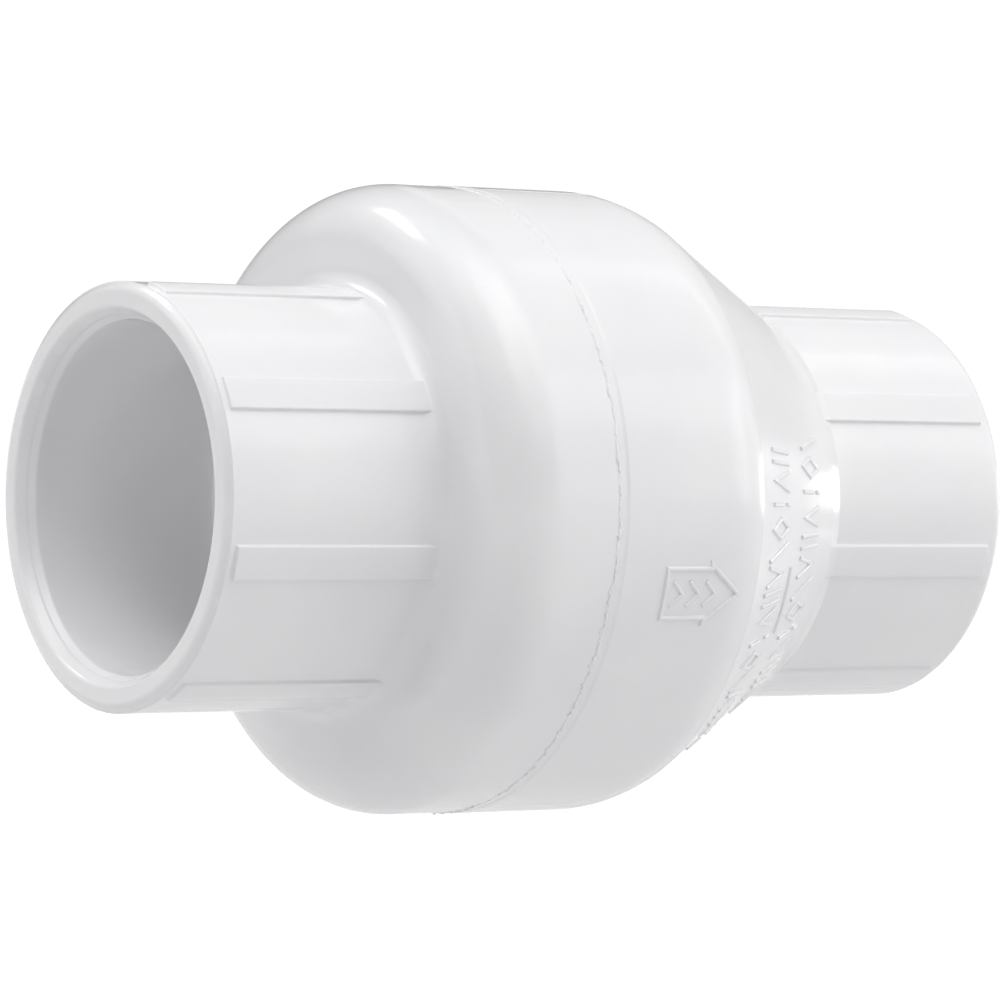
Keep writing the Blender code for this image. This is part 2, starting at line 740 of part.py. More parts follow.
def make_clapper_screw(slots):
    head_low, head_high = STUD_HEAD_X
    outline = [
        (head_low, 0),
        *[(head_low + depth, r) for depth, r in STUD_HEAD_DOME],
        (head_high, STUD_HEAD_DOME[-1][1]),
        (head_high, STUD_R),
        (STUD_TIP_X - STUD_TIP_CHAMFER, STUD_R),
        (STUD_TIP_X, STUD_R - STUD_TIP_CHAMFER),
        (STUD_TIP_X, 0),
    ]
    mesh = turned_about_x("clapper_screw", outline, SMALL_SEGMENTS)
    return add_object("clapper_screw", mesh, slots["stainless"])


def make_clapper_nut(slots):
    corner_r = NUT_ACROSS_FLATS / 2 / math.cos(math.radians(30))
    mesh = turned_about_x("clapper_nut", disc_outline(*NUT_X, corner_r), 6)
    nut = add_object("clapper_nut", mesh, slots["stainless"])
    bore = disc_outline(NUT_X[0] - OVERLAP, NUT_X[1] + OVERLAP, STUD_R + GAP)
    combine(nut, "DIFFERENCE", turned_about_x("nut_bore", bore, SMALL_SEGMENTS))
    return nut


# ---------------------------------------------------------------- assembly


def pivot(name, at, children):
    """An empty on a joint's axis that carries the pieces which move about it."""
    empty = bpy.data.objects.new(name, None)
    empty.empty_display_size = 0.01
    empty.location = Vector(at) * MM
    bpy.context.scene.collection.objects.link(empty)
    bpy.context.view_layer.update()
    for child in children:
        child.parent = empty
        child.matrix_parent_inverse = empty.matrix_world.inverted()
    return empty


def clear_scene():
    for obj in list(bpy.data.objects):
        bpy.data.objects.remove(obj)


def main():
    clear_scene()
    slots = make_materials()
    make_inlet_body(slots)
    make_outlet_body(slots)
    make_weld_bead(slots)
    make_seat_ring(slots)
    make_seat_o_ring(slots)
    make_hinge_bracket(slots)
    bracket_head_x = BRACKET_X[1] + GAP
    seat_head_x = BULKHEAD_X + GAP
    for side, place in zip(("left", "right"), BRACKET_SCREW_YZ):
        make_self_tapper(f"bracket_screw_{side}", bracket_head_x, place, slots)
    for side, place in zip(("right", "left"), seat_screw_places()):
        make_self_tapper(f"seat_screw_{side}", seat_head_x, place, slots)
    make_hinge_pin(slots)
    make_pin_clip("left", -1, slots)
    make_pin_clip("right", 1, slots)
    make_torsion_spring(slots)

    swinging = [
        make_clapper_arm(slots),
        make_hinge_bush("left", -1, slots),
        make_hinge_bush("right", 1, slots),
    ]
    turning = [
        make_clapper_disc(slots),
        make_clapper_ring("clapper_seal", SEAL_X, SEAL_R, slots["black_epdm"], edge=0.5),
        make_clapper_ring("seal_retainer", RETAINER_X, RETAINER_R, slots["stainless"], edge=0.4),
        make_stud_sleeve(slots),
        make_clapper_screw(slots),
        make_clapper_ring("clapper_washer", WASHER_X, WASHER_R, slots["stainless"]),
        make_clapper_nut(slots),
    ]
    stud_pivot = pivot("disc_turn_axis", (0, 0, 0), turning)
    pivot("clapper_hinge_axis", (PIN_X, 0, PIN_Z), [*swinging, stud_pivot])


main()
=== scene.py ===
"""Looks of a 1-1/2 inch PVC swing check valve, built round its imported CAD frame.

Shapes are worked out in millimetres, in the frame's own axes: +X is the flow direction, +Z is up
and the origin is the middle of the valve on its flow axis. Angles round that axis run from -Y
towards +Z.
"""

import math

import bmesh
import bpy
from mathutils import Matrix, Vector, noise


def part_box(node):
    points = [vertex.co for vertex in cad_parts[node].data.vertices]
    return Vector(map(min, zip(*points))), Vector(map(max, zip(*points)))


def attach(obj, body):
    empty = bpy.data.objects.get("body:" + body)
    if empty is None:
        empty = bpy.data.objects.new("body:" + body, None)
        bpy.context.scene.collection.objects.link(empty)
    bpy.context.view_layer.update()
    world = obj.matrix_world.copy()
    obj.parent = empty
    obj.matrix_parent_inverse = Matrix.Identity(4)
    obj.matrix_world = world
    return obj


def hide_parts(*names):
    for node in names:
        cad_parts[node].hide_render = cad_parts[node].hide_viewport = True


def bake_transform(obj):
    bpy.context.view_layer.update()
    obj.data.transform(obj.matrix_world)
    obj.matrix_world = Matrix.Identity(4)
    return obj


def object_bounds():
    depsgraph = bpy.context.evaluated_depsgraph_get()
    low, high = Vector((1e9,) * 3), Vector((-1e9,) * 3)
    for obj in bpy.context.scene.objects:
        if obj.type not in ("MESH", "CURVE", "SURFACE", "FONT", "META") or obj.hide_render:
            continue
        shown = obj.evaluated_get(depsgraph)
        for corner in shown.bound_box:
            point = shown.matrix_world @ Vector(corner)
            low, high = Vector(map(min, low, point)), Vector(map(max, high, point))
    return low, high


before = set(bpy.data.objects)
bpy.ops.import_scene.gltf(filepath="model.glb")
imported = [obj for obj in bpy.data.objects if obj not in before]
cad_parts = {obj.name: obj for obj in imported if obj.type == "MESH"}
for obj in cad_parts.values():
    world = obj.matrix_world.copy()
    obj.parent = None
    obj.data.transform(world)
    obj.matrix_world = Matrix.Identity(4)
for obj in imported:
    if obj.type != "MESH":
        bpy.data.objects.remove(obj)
CAD_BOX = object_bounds()

MM = 0.001
# Clearance between neighbouring parts, and how near a hub's surface counts as on it
GAP = 0.3


def node_box(node):
    """Lowest and highest corner of a CAD node, in millimetres."""
    low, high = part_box(node)
    return Vector(low) / MM, Vector(high) / MM


# Outer shape
END_X = CAD_BOX[1].x / MM
INLET_HUB_R = 29.4
OUTLET_HUB_R = 28.85
INLET_BODY_R = 44.25
OUTLET_BODY_R = 44.4
END_ROUNDING = 1.7
INLET_WALL_X = -32.3
INLET_WALL_LEAN = 0.55
SEAM_X = -14.4
SEAM_GAP = 0.03
# Distances from the seam between which the outlet half steps from the inlet half's radius to its own
SEAM_STEP = (1.2, 1.7)
CONE_START_X = 8.6
CONE_CREASE = (11.25, 43.1)
# Where the cone's straight line would reach the outlet hub's surface
CONE_END_X = 36.1
CONE_SLOPE = (CONE_CREASE[1] - OUTLET_HUB_R) / (CONE_END_X - CONE_CREASE[0])
# Where the cone flattens a little just before it meets the outlet hub, and where it meets the hub
CONE_FOOT = (34.7, 29.65)
CONE_FOOT_END_X = 36.5

# Steps round the rough flash along the seam
FLASH_STEPS = 1400

# Grip ribs
RIB_COUNT = 8
RIB_PITCH = math.tau / RIB_COUNT
RIB_PHASE = math.radians(28.15)
RIB_HALF_ANGLE = math.radians(4.68)
RIB_HEIGHT = 0.5
INLET_RIB_X = (-65.7, -32.8)
OUTLET_RIB_X = (35.0, 64.8)
# (distance into the rib from its edge, share of the rib's height)
RIB_EDGE = [
    (-0.30, 0.0),
    (-0.16, 0.03),
    (-0.07, 0.12),
    (-0.02, 0.32),
    (0.03, 0.68),
    (0.08, 0.88),
    (0.16, 0.97),
    (0.30, 1.0),
]
# The outlet half's two mould lines, and across each: (distance from its middle, share of its height)
MOULD_LINE_ANGLES = (math.radians(79.5), math.radians(-100.5))
MOULD_LINE_HEIGHT = 0.06
MOULD_LINE_EDGE = [(-0.22, 0.0), (-0.1, 0.7), (0.0, 1.0), (0.1, 0.7), (0.22, 0.0)]

# Sockets and waterway
SOCKET_MOUTH_R = 24.28
SOCKET_END_R = 24.06
SOCKET_END_X = 35.75
MOUTH_R = 25.9
BORE_R = 20.45
CHAMBER_R = 39.4
BULKHEAD_X = -27.0
BULKHEAD_R = 27.8
WALL = 4.9
SPIGOT_R = 41.5
SPIGOT_LENGTH = 5.0

# Seat
SEAT_BACK_X = -31.2
SEAT_R = 27.5
O_RING_R = 25.0
O_RING_WIRE_R = 0.9
# (depth, half width)
O_RING_GROOVE = (2.1, 1.2)

# Self-tapping screws
RECESS_DEPTH = 1.4
THREAD_PITCH = 0.75

# Hinge. A pair of Y positions is the inner and outer face on one side
PIN = Vector((-15.0, 0.0, 31.0))
PIN_R = 2.0
PIN_GROOVE_Y = 15.8
CLIP_THICKNESS = 0.6
OPEN_ANGLE = math.radians(72)
BRACKET_THICKNESS = 2.5
BRACKET_SCREW_Y = 9.0
BRACKET_SCREW_Z = 29.3
EAR_Y = (12.3, 14.97)
EAR_R = 4.5
BUSH_R = 3.25
ARM_X = (-16.4, -12.0)
ARM_EYE_R = 7.0
ARM_NECK_Y = 5.0
KNUCKLE_Y = (5.5, 10.9)
KNUCKLE_R = 5.0
POST_HALF_WIDTH = 3.5
# The stop post's lower face: how far it lies behind the pin, a gap clear of the open arm's back,
# and the distances down the arm between which it runs
POST_BACK = 3.3
POST_REACH = (16.0, 20.0)
POST_TOP_Z = 39.8

# Clapper
DISC_RIBS = 8
DISC_HOLE_R = 2.7
STACK_HOLE_R = 2.75
STUD_R = 2.5
STUD_PITCH = 0.5
NUT_X = (-9.7, -6.5)
NUT_HALF_WIDTH = 4.0

# Fineness of turned pieces: segments round the axis, and the angle of each step along an arc
LARGE_ROUND = 160
MEDIUM_ROUND = 96
SMALL_ROUND = 64
SCREW_ROUND = 48
FINE_STEP = math.radians(12)
COARSE_STEP = math.radians(15)


# ---------------------------------------- outlines


def arc_points(centre, radius, start, end, steps):
    """Points on an arc from angle start to angle end, both included."""
    angles = [start + (end - start) * i / steps for i in range(steps + 1)]
    return [(centre[0] + radius * math.cos(a), centre[1] + radius * math.sin(a)) for a in angles]


def rounded(corners, step=math.radians(6)):
    """A closed outline from (x, r, rounding) corners, with an arc wherever rounding isn't 0."""
    points = []
    count = len(corners)
    for i, (x, r, rounding) in enumerate(corners):
        here = Vector((x, r))
        before = Vector(corners[i - 1][:2]) - here
        after = Vector(corners[(i + 1) % count][:2]) - here
        if rounding == 0 or before.length == 0 or after.length == 0:
            points.append((x, r))
            continue
        before.normalize()
        after.normalize()
        half = before.angle(after) / 2
        if math.pi / 2 - half < 1e-3:
            points.append((x, r))
            continue
        centre = here + (before + after).normalized() * rounding / math.sin(half)
        start = here + before * rounding / math.tan(half) - centre
        turn = start.angle_signed(here + after * rounding / math.tan(half) - centre)
        first = math.atan2(start.y, start.x)
        steps = max(2, math.ceil(abs(turn) / step))
        points += arc_points(centre, rounding, first, first - turn, steps)
    return points


def between(here, there, share):
    """The point at a share of the way from one point to another."""
    return tuple(a + (b - a) * share for a, b in zip(here, there))


def split_long(points, longest):
    """The same closed outline with no stretch longer than a limit."""
    out = []
    for i, here in enumerate(points):
        there = points[(i + 1) % len(points)]
        pieces = math.ceil(math.dist(here, there) / longest)
        out += [here, *(between(here, there, k / pieces) for k in range(1, pieces))]
    return out


def around_x(x, r, angle):
    """The point at a distance r from the flow axis."""
    return (x, -r * math.cos(angle), r * math.sin(angle))


def even_angles(count):
    return [math.tau * i / count for i in range(count)]


# ---------------------------------------- meshes


def finished_mesh(name, bm):
    bmesh.ops.recalc_face_normals(bm, faces=bm.faces)
    mesh = bpy.data.meshes.new(name)
    bm.to_mesh(mesh)
    bm.free()
    return mesh


def join_rings(bm, here, there, closed_outline=True):
    """Faces between two rings of vertices."""
    count = len(here)
    for i in range(count if closed_outline else count - 1):
        j = (i + 1) % count
        bm.faces.new((here[i], here[j], there[j], there[i]))


def grid_mesh(name, rings, closed_outline=True):
    """A mesh from rings of points in millimetres, joined ring to ring and last to first."""
    bm = bmesh.new()
    verts = [[bm.verts.new(point) for point in ring] for ring in rings]
    for c, here in enumerate(verts):
        join_rings(bm, here, verts[(c + 1) % len(verts)], closed_outline)
    bmesh.ops.remove_doubles(bm, verts=bm.verts, dist=1e-5)
    return finished_mesh(name, bm)


def lathe(name, outline, segments, axis="X"):
    """A solid of revolution. Outlines that start and end at r 0 are solid right through."""
    rings = [[around_x(x, r, a) for x, r in outline] for a in even_angles(segments)]
    mesh = grid_mesh(name, rings, closed_outline=outline[0][1] != 0)
    if axis == "Y":
        mesh.transform(Matrix.Rotation(math.radians(90), 4, "Z"))
    return mesh


def prism(name, outline, axis, low, high):
    """An outline in the other two axes, extruded along X or Y between two positions."""
    bm = bmesh.new()
    layers = []
    for level in (low, high):
        if axis == "X":
            layers.append([bm.verts.new((level, a, b)) for a, b in outline])
        else:
            layers.append([bm.verts.new((a, level, b)) for a, b in outline])
    bm.faces.new(layers[0])
    bm.faces.new(layers[1])
    join_rings(bm, *layers)
    return finished_mesh(name, bm)


def tube(name, path, radius, sides):
    """A round bar through points, its ends domed."""
    rings = []
    normal = Vector((0, 0, 1))
    dome = [(0.7, 0.7), (0.92, 0.38), (1.0, 0.0)]
    for i, point in enumerate(path):
        tangent = (path[min(i + 1, len(path) - 1)] - path[max(i - 1, 0)]).normalized()
        normal = (normal - tangent * normal.dot(tangent)).normalized()
        side = tangent.cross(normal)
        levels = [(0.0, 1.0)]
        if i == 0:
            levels = [(-ahead, share) for ahead, share in reversed(dome)] + levels
        if i == len(path) - 1:
            levels += dome
        for ahead, share in levels:
            centre = point + tangent * ahead * radius
            spokes = [normal * math.cos(a) + side * math.sin(a) for a in even_angles(sides)]
            rings.append([centre + spoke * radius * share for spoke in spokes])
    columns = list(zip(*rings))
    return grid_mesh(name, columns, closed_outline=False)


def rod(low, high, radius):
    """The outline of a plain round rod along the axis of a lathe."""
    return [(low, 0), (low, radius), (high, radius), (high, 0)]


def rounded_box(a, b, rounding):
    """A rectangle between two positions each way, its corners rounded."""
    corners = [(a[0], b[0]), (a[1], b[0]), (a[1], b[1]), (a[0], b[1])]
    return rounded([(*corner, rounding) for corner in corners], COARSE_STEP)


def cut(target, operation, tool_mesh):
    """Joins a tool mesh to a mesh object, cuts it away, or keeps only what the two share."""
    tool = bpy.data.objects.new(tool_mesh.name, tool_mesh)
    bpy.context.scene.collection.objects.link(tool)
    modifier = target.modifiers.new(tool_mesh.name, "BOOLEAN")
    modifier.operation = operation
    modifier.solver = "EXACT"
    modifier.object = tool
    apply_modifiers(target)
    bpy.data.objects.remove(tool)


def apply_modifiers(obj):
    bpy.context.view_layer.update()
    evaluated = obj.evaluated_get(bpy.context.evaluated_depsgraph_get())
    mesh = bpy.data.meshes.new_from_object(evaluated)
    obj.modifiers.clear()
    obj.data = mesh


def loose(mesh):
    """A mesh object in millimetres, still to be scaled and given to a body."""
    obj = bpy.data.objects.new(mesh.name, mesh)
    bpy.context.scene.collection.objects.link(obj)
    return obj


def soften(obj, width, segments=3, angle=40):
    """Rounds every edge sharper than an angle."""
    bevel = obj.modifiers.new("edges", "BEVEL")
    bevel.width = width
    bevel.segments = segments
    bevel.limit_method = "ANGLE"
    bevel.angle_limit = math.radians(angle)
    apply_modifiers(obj)


def place(piece, body, material_slot, nodes, at=(0, 0, 0), sharp=50):
    """Scales a piece to metres, moves it to its place, gives it its body and finish and hides the CAD
    nodes that it replaces.

    A piece whose body is None is left without one.
    """
    obj = loose(piece) if isinstance(piece, bpy.types.Mesh) else piece
    obj.data.transform(Matrix.Scale(MM, 4) @ Matrix.Translation(Vector(at)))
    obj.data.shade_smooth()
    obj.data.set_sharp_from_angle(angle=math.radians(sharp))
    obj.data.materials.clear()
    obj.data.materials.append(MATERIALS[material_slot])
    if body:
        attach(obj, body)
    if nodes:
        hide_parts(*nodes)
    return obj


# ---------------------------------------- materials


class Nodes:
    """Short calls for building a node tree."""

    def __init__(self, tree, coordinates):
        self.tree = tree
        self.position = tree.nodes.new("ShaderNodeTexCoord").outputs[coordinates]

    def add(self, kind, inputs, **settings):
        node = self.tree.nodes.new(kind)
        for key, value in settings.items():
            setattr(node, key, value)
        for key, value in inputs.items():
            if isinstance(value, bpy.types.NodeSocket):
                self.tree.links.new(value, node.inputs[key])
            else:
                node.inputs[key].default_value = value
        return node

    def vector_maths(self, operation, inputs, result="Vector"):
        return self.add("ShaderNodeVectorMath", inputs, operation=operation).outputs[result]

    def noise(self, scale, detail=3.0, roughness=0.5, vector=None):
        vector = vector or self.position
        inputs = {"Vector": vector, "Scale": scale, "Detail": detail, "Roughness": roughness}
        return self.add("ShaderNodeTexNoise", inputs).outputs["Fac"]

    def stretched(self, scale):
        """The object's coordinates scaled by three factors, for grain that runs one way."""
        inputs = {"Vector": self.position, "Scale": scale}
        return self.add("ShaderNodeMapping", inputs).outputs["Vector"]

    def turned(self, fineness):
        """Place along the flow axis and distance from it, for the rings that turning leaves."""
        radial = self.vector_maths("MULTIPLY", {0: self.position, 1: (0.0, 1.0, 1.0)})
        away = self.vector_maths("LENGTH", {0: radial}, "Value")
        along = self.add("ShaderNodeSeparateXYZ", {"Vector": self.position}).outputs["X"]
        place = self.add("ShaderNodeCombineXYZ", {"X": along, "Y": away}).outputs["Vector"]
        return self.vector_maths("SCALE", {0: place, "Scale": fineness})

    def remap(self, value, low, high, from_low=0.0, from_high=1.0, curve="LINEAR"):
        ends = {"From Min": from_low, "From Max": from_high, "To Min": low, "To Max": high}
        node = self.add("ShaderNodeMapRange", {"Value": value, **ends}, interpolation_type=curve)
        return node.outputs["Result"]

    def maths(self, operation, one, two):
        return self.add("ShaderNodeMath", {0: one, 1: two}, operation=operation).outputs[0]

    def mix(self, share, one, two):
        """A mix of two colours, each a socket or (red, green, blue)."""
        one, two = [(*c, 1.0) if isinstance(c, tuple) else c for c in (one, two)]
        return self.add("ShaderNodeMix", {0: share, 6: one, 7: two}, data_type="RGBA").outputs[2]


class Surface(Nodes):
    """The node tree of one material with its Principled shader."""

    def __init__(self, name):
        self.material = bpy.data.materials.new(name)
        self.material.use_nodes = True
        super().__init__(self.material.node_tree, "Object")
        self.shader = self.tree.nodes["Principled BSDF"]
        self.bumps = None

    def bump(self, height, strength, distance):
        """Adds one layer of bump on top of those before it."""
        inputs = {"Height": height, "Strength": strength, "Distance": distance}
        if self.bumps is not None:
            inputs["Normal"] = self.bumps
        self.bumps = self.add("ShaderNodeBump", inputs).outputs["Normal"]

    def finish(self, **sockets):
        if self.bumps is not None:
            self.tree.links.new(self.bumps, self.shader.inputs["Normal"])
        for key, value in sockets.items():
            socket = self.shader.inputs[key.replace("_", " ")]
            if isinstance(value, bpy.types.NodeSocket):
                self.tree.links.new(value, socket)
            elif isinstance(value, tuple):
                socket.default_value = (*value, 1.0)
            else:
                socket.default_value = value
        return self.material

    def edges(self, low, high):
        """0 in hollows and on flats, rising to 1 on convex edges."""
        pointiness = self.tree.nodes.new("ShaderNodeNewGeometry").outputs["Pointiness"]
        return self.remap(pointiness, 0.0, 1.0, low, high)


def white_pvc():
    """Glossy moulded PVC: cloudy flow marks, faint orange peel and a few fine scuffs."""
    n = Surface("white_pvc")
    clouds = n.noise(38, 4)
    specks = n.noise(2600, 1)
    colour = n.mix(n.remap(clouds, 0, 1, 0.3, 0.7), (0.80, 0.80, 0.815), (0.845, 0.845, 0.855))
    colour = n.mix(n.remap(specks, 0, 0.5, 0.68, 0.8), colour, (0.74, 0.745, 0.75))
    colour = n.mix(n.remap(n.edges(0.53, 0.62), 0, 0.35), colour, (0.88, 0.885, 0.89))
    scuffs = n.remap(n.noise(90, 8, 0.7, n.stretched((0.35, 2.5, 2.5))), 0, 0.05, 0.5, 0.8)
    roughness = n.maths("ADD", n.remap(n.noise(240, 3), 0.12, 0.18), scuffs)
    n.bump(n.noise(55, 2), 0.25, 0.0006)
    n.bump(n.noise(950, 2), 0.08, 0.00004)
    return n.finish(Base_Color=colour, Roughness=roughness, IOR=1.53)


def weld_pvc():
    """The squeezed-out bead: the same plastic, duller and lumpy."""
    n = Surface("weld_pvc")
    lumps = n.noise(700, 5, 0.6)
    colour = n.mix(lumps, (0.76, 0.765, 0.775), (0.86, 0.86, 0.865))
    n.bump(lumps, 0.5, 0.0001)
    return n.finish(Base_Color=colour, Roughness=n.remap(lumps, 0.3, 0.5), IOR=1.53)


def grey_pvc():
    """Satin grey PVC with flow marks and paler rubbed edges."""
    n = Surface("grey_pvc")
    clouds = n.noise(120, 4)
    colour = n.mix(clouds, (0.29, 0.30, 0.32), (0.36, 0.37, 0.39))
    colour = n.mix(n.edges(0.52, 0.6), colour, (0.45, 0.46, 0.47))
    n.bump(n.noise(1800, 3), 0.15, 0.00005)
    n.bump(n.noise(150, 2), 0.2, 0.0002)
    return n.finish(Base_Color=colour, Roughness=n.remap(n.noise(400, 4), 0.3, 0.46), IOR=1.53)


def black_epdm():
    """Matt rubber with a fine bloom and mould grain."""
    n = Surface("black_epdm")
    bloom = n.noise(180, 6, 0.65)
    colour = n.mix(n.remap(bloom, 0, 1, 0.45, 0.75), (0.018, 0.018, 0.02), (0.045, 0.045, 0.047))
    n.bump(n.noise(2400, 4), 0.3, 0.00005)
    return n.finish(Base_Color=colour, Roughness=n.remap(bloom, 0.5, 0.72), IOR=1.5)


def white_acetal():
    """Natural acetal: warm, waxy and slightly polished where it turns."""
    n = Surface("white_acetal")
    clouds = n.noise(200, 3)
    colour = n.mix(clouds, (0.74, 0.73, 0.69), (0.81, 0.80, 0.76))
    turning = n.noise(500, 3, 0.5, n.stretched((1.0, 6.0, 1.0)))
    n.bump(turning, 0.15, 0.00004)
    return n.finish(Base_Color=colour, Roughness=n.remap(turning, 0.28, 0.42), IOR=1.48)


def stainless():
    """Bright turned stainless steel: fine rings round the axis and a faint cloudy film."""
    n = Surface("stainless")
    grain = n.noise(1500, 4, 0.6, n.turned(2.0))
    film = n.noise(110, 4, 0.5)
    colour = n.mix(film, (0.64, 0.63, 0.61), (0.59, 0.58, 0.56))
    roughness = n.maths("ADD", n.remap(grain, 0.2, 0.32), n.remap(film, 0, 0.05))
    n.bump(grain, 0.15, 0.00003)
    return n.finish(Base_Color=colour, Roughness=roughness, Metallic=1.0)


MATERIALS = {
    "white_pvc": white_pvc(),
    "weld_pvc": weld_pvc(),
    "grey_pvc": grey_pvc(),
    "black_epdm": black_epdm(),
    "white_acetal": white_acetal(),
    "stainless": stainless(),
}


# ---------------------------------------- body halves


def rib_columns(hub_r, mould_lines=()):
    """(angle, share of a rib's height, share of a mould line's height) all round a hub."""
    columns = []
    for k in range(RIB_COUNT):
        middle = RIB_PHASE + k * RIB_PITCH
        for inward, share in RIB_EDGE:
            columns.append((middle - RIB_HALF_ANGLE + inward / hub_r, share))
            columns.append((middle + RIB_HALF_ANGLE - inward / hub_r, share))
        inner = RIB_HALF_ANGLE - RIB_EDGE[-1][0] / hub_r
        outer = RIB_HALF_ANGLE - RIB_EDGE[0][0] / hub_r
        across_top = 6
        columns += [(middle + inner * (2 * i / across_top - 1), 1.0) for i in range(1, across_top)]
        across_gap = 24
        gap = RIB_PITCH - 2 * outer
        columns += [(middle + outer + gap * i / across_gap, 0.0) for i in range(1, across_gap)]
    columns = [(angle % math.tau, share, 0.0) for angle, share in columns]
    for line in mould_lines:
        for offset, share in MOULD_LINE_EDGE:
            columns.append(((line + offset / OUTLET_BODY_R) % math.tau, 0.0, share))
    return sorted(columns)


def share_at(x, ends):
    """How much of its height a rib has at a station; ends are (x, direction into the rib)."""
    share = 1.0
    for end_x, inward in ends:
        depth = (x - end_x) * inward
        if depth <= RIB_EDGE[0][0]:
            return 0.0
        for (d0, s0), (d1, s1) in zip(RIB_EDGE, RIB_EDGE[1:]):
            if d0 <= depth <= d1:
                share = min(share, s0 + (s1 - s0) * (depth - d0) / (d1 - d0))
    return share


def with_stations(points, stations, hub_r):
    """Adds hub stations to an outline where it runs along the hub's surface."""
    out = []
    for i, here in enumerate(points):
        out.append(here)
        there = points[(i + 1) % len(points)]
        low, high = sorted((here[0], there[0]))
        if min(here[1], there[1]) > hub_r - GAP and max(here[1], there[1]) < hub_r + GAP:
            inside = [x for x in stations if low + 1e-6 < x < high - 1e-6]
            for x in sorted(inside, reverse=here[0] > there[0]):
                out.append((x, between(here, there, (x - here[0]) / (there[0] - here[0]))[1]))
    return out


def body_half(name, outline, hub_r, ends, rib_range, mould_lines=()):
    """A turned half with its grip ribs, rounded along every edge."""
    offsets = [offset for offset, _ in RIB_EDGE]
    stations = [end_x + inward * offset for end_x, inward in ends for offset in offsets]
    points = with_stations(outline, stations, hub_r)
    rings = []
    for angle, rib_share, line_share in rib_columns(hub_r, mould_lines):
        ring = []
        for x, r in points:
            radius = r
            outside = r > hub_r - GAP
            if outside and rib_range[0] < x < rib_range[1]:
                radius = max(r, hub_r + RIB_HEIGHT * rib_share * share_at(x, ends))
            if outside and line_share and x > SEAM_X + 2 and r > CHAMBER_R:
                radius += MOULD_LINE_HEIGHT * line_share
            ring.append(around_x(x, radius, angle))
        rings.append(ring)
    return grid_mesh(name, rings)


def mouth(side, hub_r):
    """The rim and stepped lead-in of a socket, from the hub's surface inwards; side is -1 or 1."""
    return [
        (side * END_X, hub_r, END_ROUNDING),
        (side * END_X, MOUTH_R, 0.8),
        (side * (END_X - 1.4), 25.0, 0.25),
        (side * (END_X - 1.75), 24.9, 0.1),
        (side * (END_X - 2.6), SOCKET_MOUTH_R, 0.8),
        (side * SOCKET_END_X, SOCKET_END_R, 0.25),
        (side * SOCKET_END_X, BORE_R, 0.4),
    ]


def make_inlet():
    outline = [
        *reversed(mouth(-1, INLET_HUB_R)),
        (INLET_WALL_X, INLET_HUB_R, 3.0),
        (INLET_WALL_X + INLET_WALL_LEAN, INLET_BODY_R, 8.8),
        (SEAM_X, INLET_BODY_R, 0.06),
        (SEAM_X, SPIGOT_R, 0),
        (SEAM_X + SPIGOT_LENGTH, SPIGOT_R, 0.3),
        (SEAM_X + SPIGOT_LENGTH, CHAMBER_R, 0.3),
        (BULKHEAD_X, CHAMBER_R, 3.0),
        (BULKHEAD_X, BULKHEAD_R, 0.2),
        (SEAT_BACK_X - GAP, BULKHEAD_R, 0),
        (SEAT_BACK_X - GAP, BORE_R, 0.2),
    ]
    points = split_long(rounded(outline), 2.0)
    ends = [(INLET_RIB_X[0], 1)]
    mesh = body_half("inlet_shell", points, INLET_HUB_R, ends, (INLET_RIB_X[0] - 1, INLET_RIB_X[1]))
    place(mesh, "valve_body", "white_pvc", ["inlet_body"], sharp=60)


def make_outlet():
    seam_x = SEAM_X + SEAM_GAP
    wall_r = WALL * math.hypot(1, CONE_SLOPE)
    inner_cone_x = CONE_CREASE[0] - (CHAMBER_R - CONE_CREASE[1] + wall_r) / CONE_SLOPE
    outline = [
        (seam_x, SPIGOT_R + GAP, 0),
        (seam_x, INLET_BODY_R, 0.06),
        (seam_x + SEAM_STEP[0], INLET_BODY_R, 0.5),
        (seam_x + SEAM_STEP[1], OUTLET_BODY_R, 0.5),
        (CONE_START_X, OUTLET_BODY_R, 13.8),
        (*CONE_CREASE, 0.5),
        (*CONE_FOOT, 6.0),
        (CONE_FOOT_END_X, OUTLET_HUB_R, 0.4),
        *mouth(1, OUTLET_HUB_R),
        (33.2, BORE_R, 1.5),
        (28.9, 27.2, 4.0),
        (inner_cone_x, CHAMBER_R, 9.0),
        (seam_x + SPIGOT_LENGTH + GAP, CHAMBER_R, 0.2),
        (seam_x + SPIGOT_LENGTH + GAP, SPIGOT_R + GAP, 0),
    ]
    points = split_long(rounded(outline), 2.0)
    ends = [(OUTLET_RIB_X[1], -1)]
    rib_range = (OUTLET_RIB_X[0], OUTLET_RIB_X[1] + 1)
    mesh = body_half("outlet_shell", points, OUTLET_HUB_R, ends, rib_range, MOULD_LINE_ANGLES)
    place(mesh, "valve_body", "white_pvc", ["outlet_body"], sharp=60)
    make_stop_post()


def make_stop_post():
    """The wedge on the chamber's ceiling that the open arm meets."""

    def under(reach):
        x = PIN.x + POST_BACK * math.cos(OPEN_ANGLE) + reach * math.sin(OPEN_ANGLE)
        z = PIN.z + POST_BACK * math.sin(OPEN_ANGLE) - reach * math.cos(OPEN_ANGLE)
        return (x, z)

    near, far = [under(reach) for reach in POST_REACH]
    root_z = POST_TOP_Z - 1.4
    outline = [
        near,
        far,
        (far[0], root_z),
        (far[0] + 0.8, POST_TOP_Z),
        (near[0] - 0.8, POST_TOP_Z),
        (near[0], root_z),
    ]
    post = loose(prism("stop_post", outline, "Y", -POST_HALF_WIDTH, POST_HALF_WIDTH))
    soften(post, 0.45)
    place(post, "valve_body", "white_pvc", ["outlet_body"])


def ripple(angle, fineness, layer=0):
    """Smooth noise round the seam, between about -1 and 1; each layer has its own pattern."""
    around = Vector((math.cos(angle), math.sin(angle), 0))
    return noise.noise(around * fineness + Vector((0, 0, layer)))


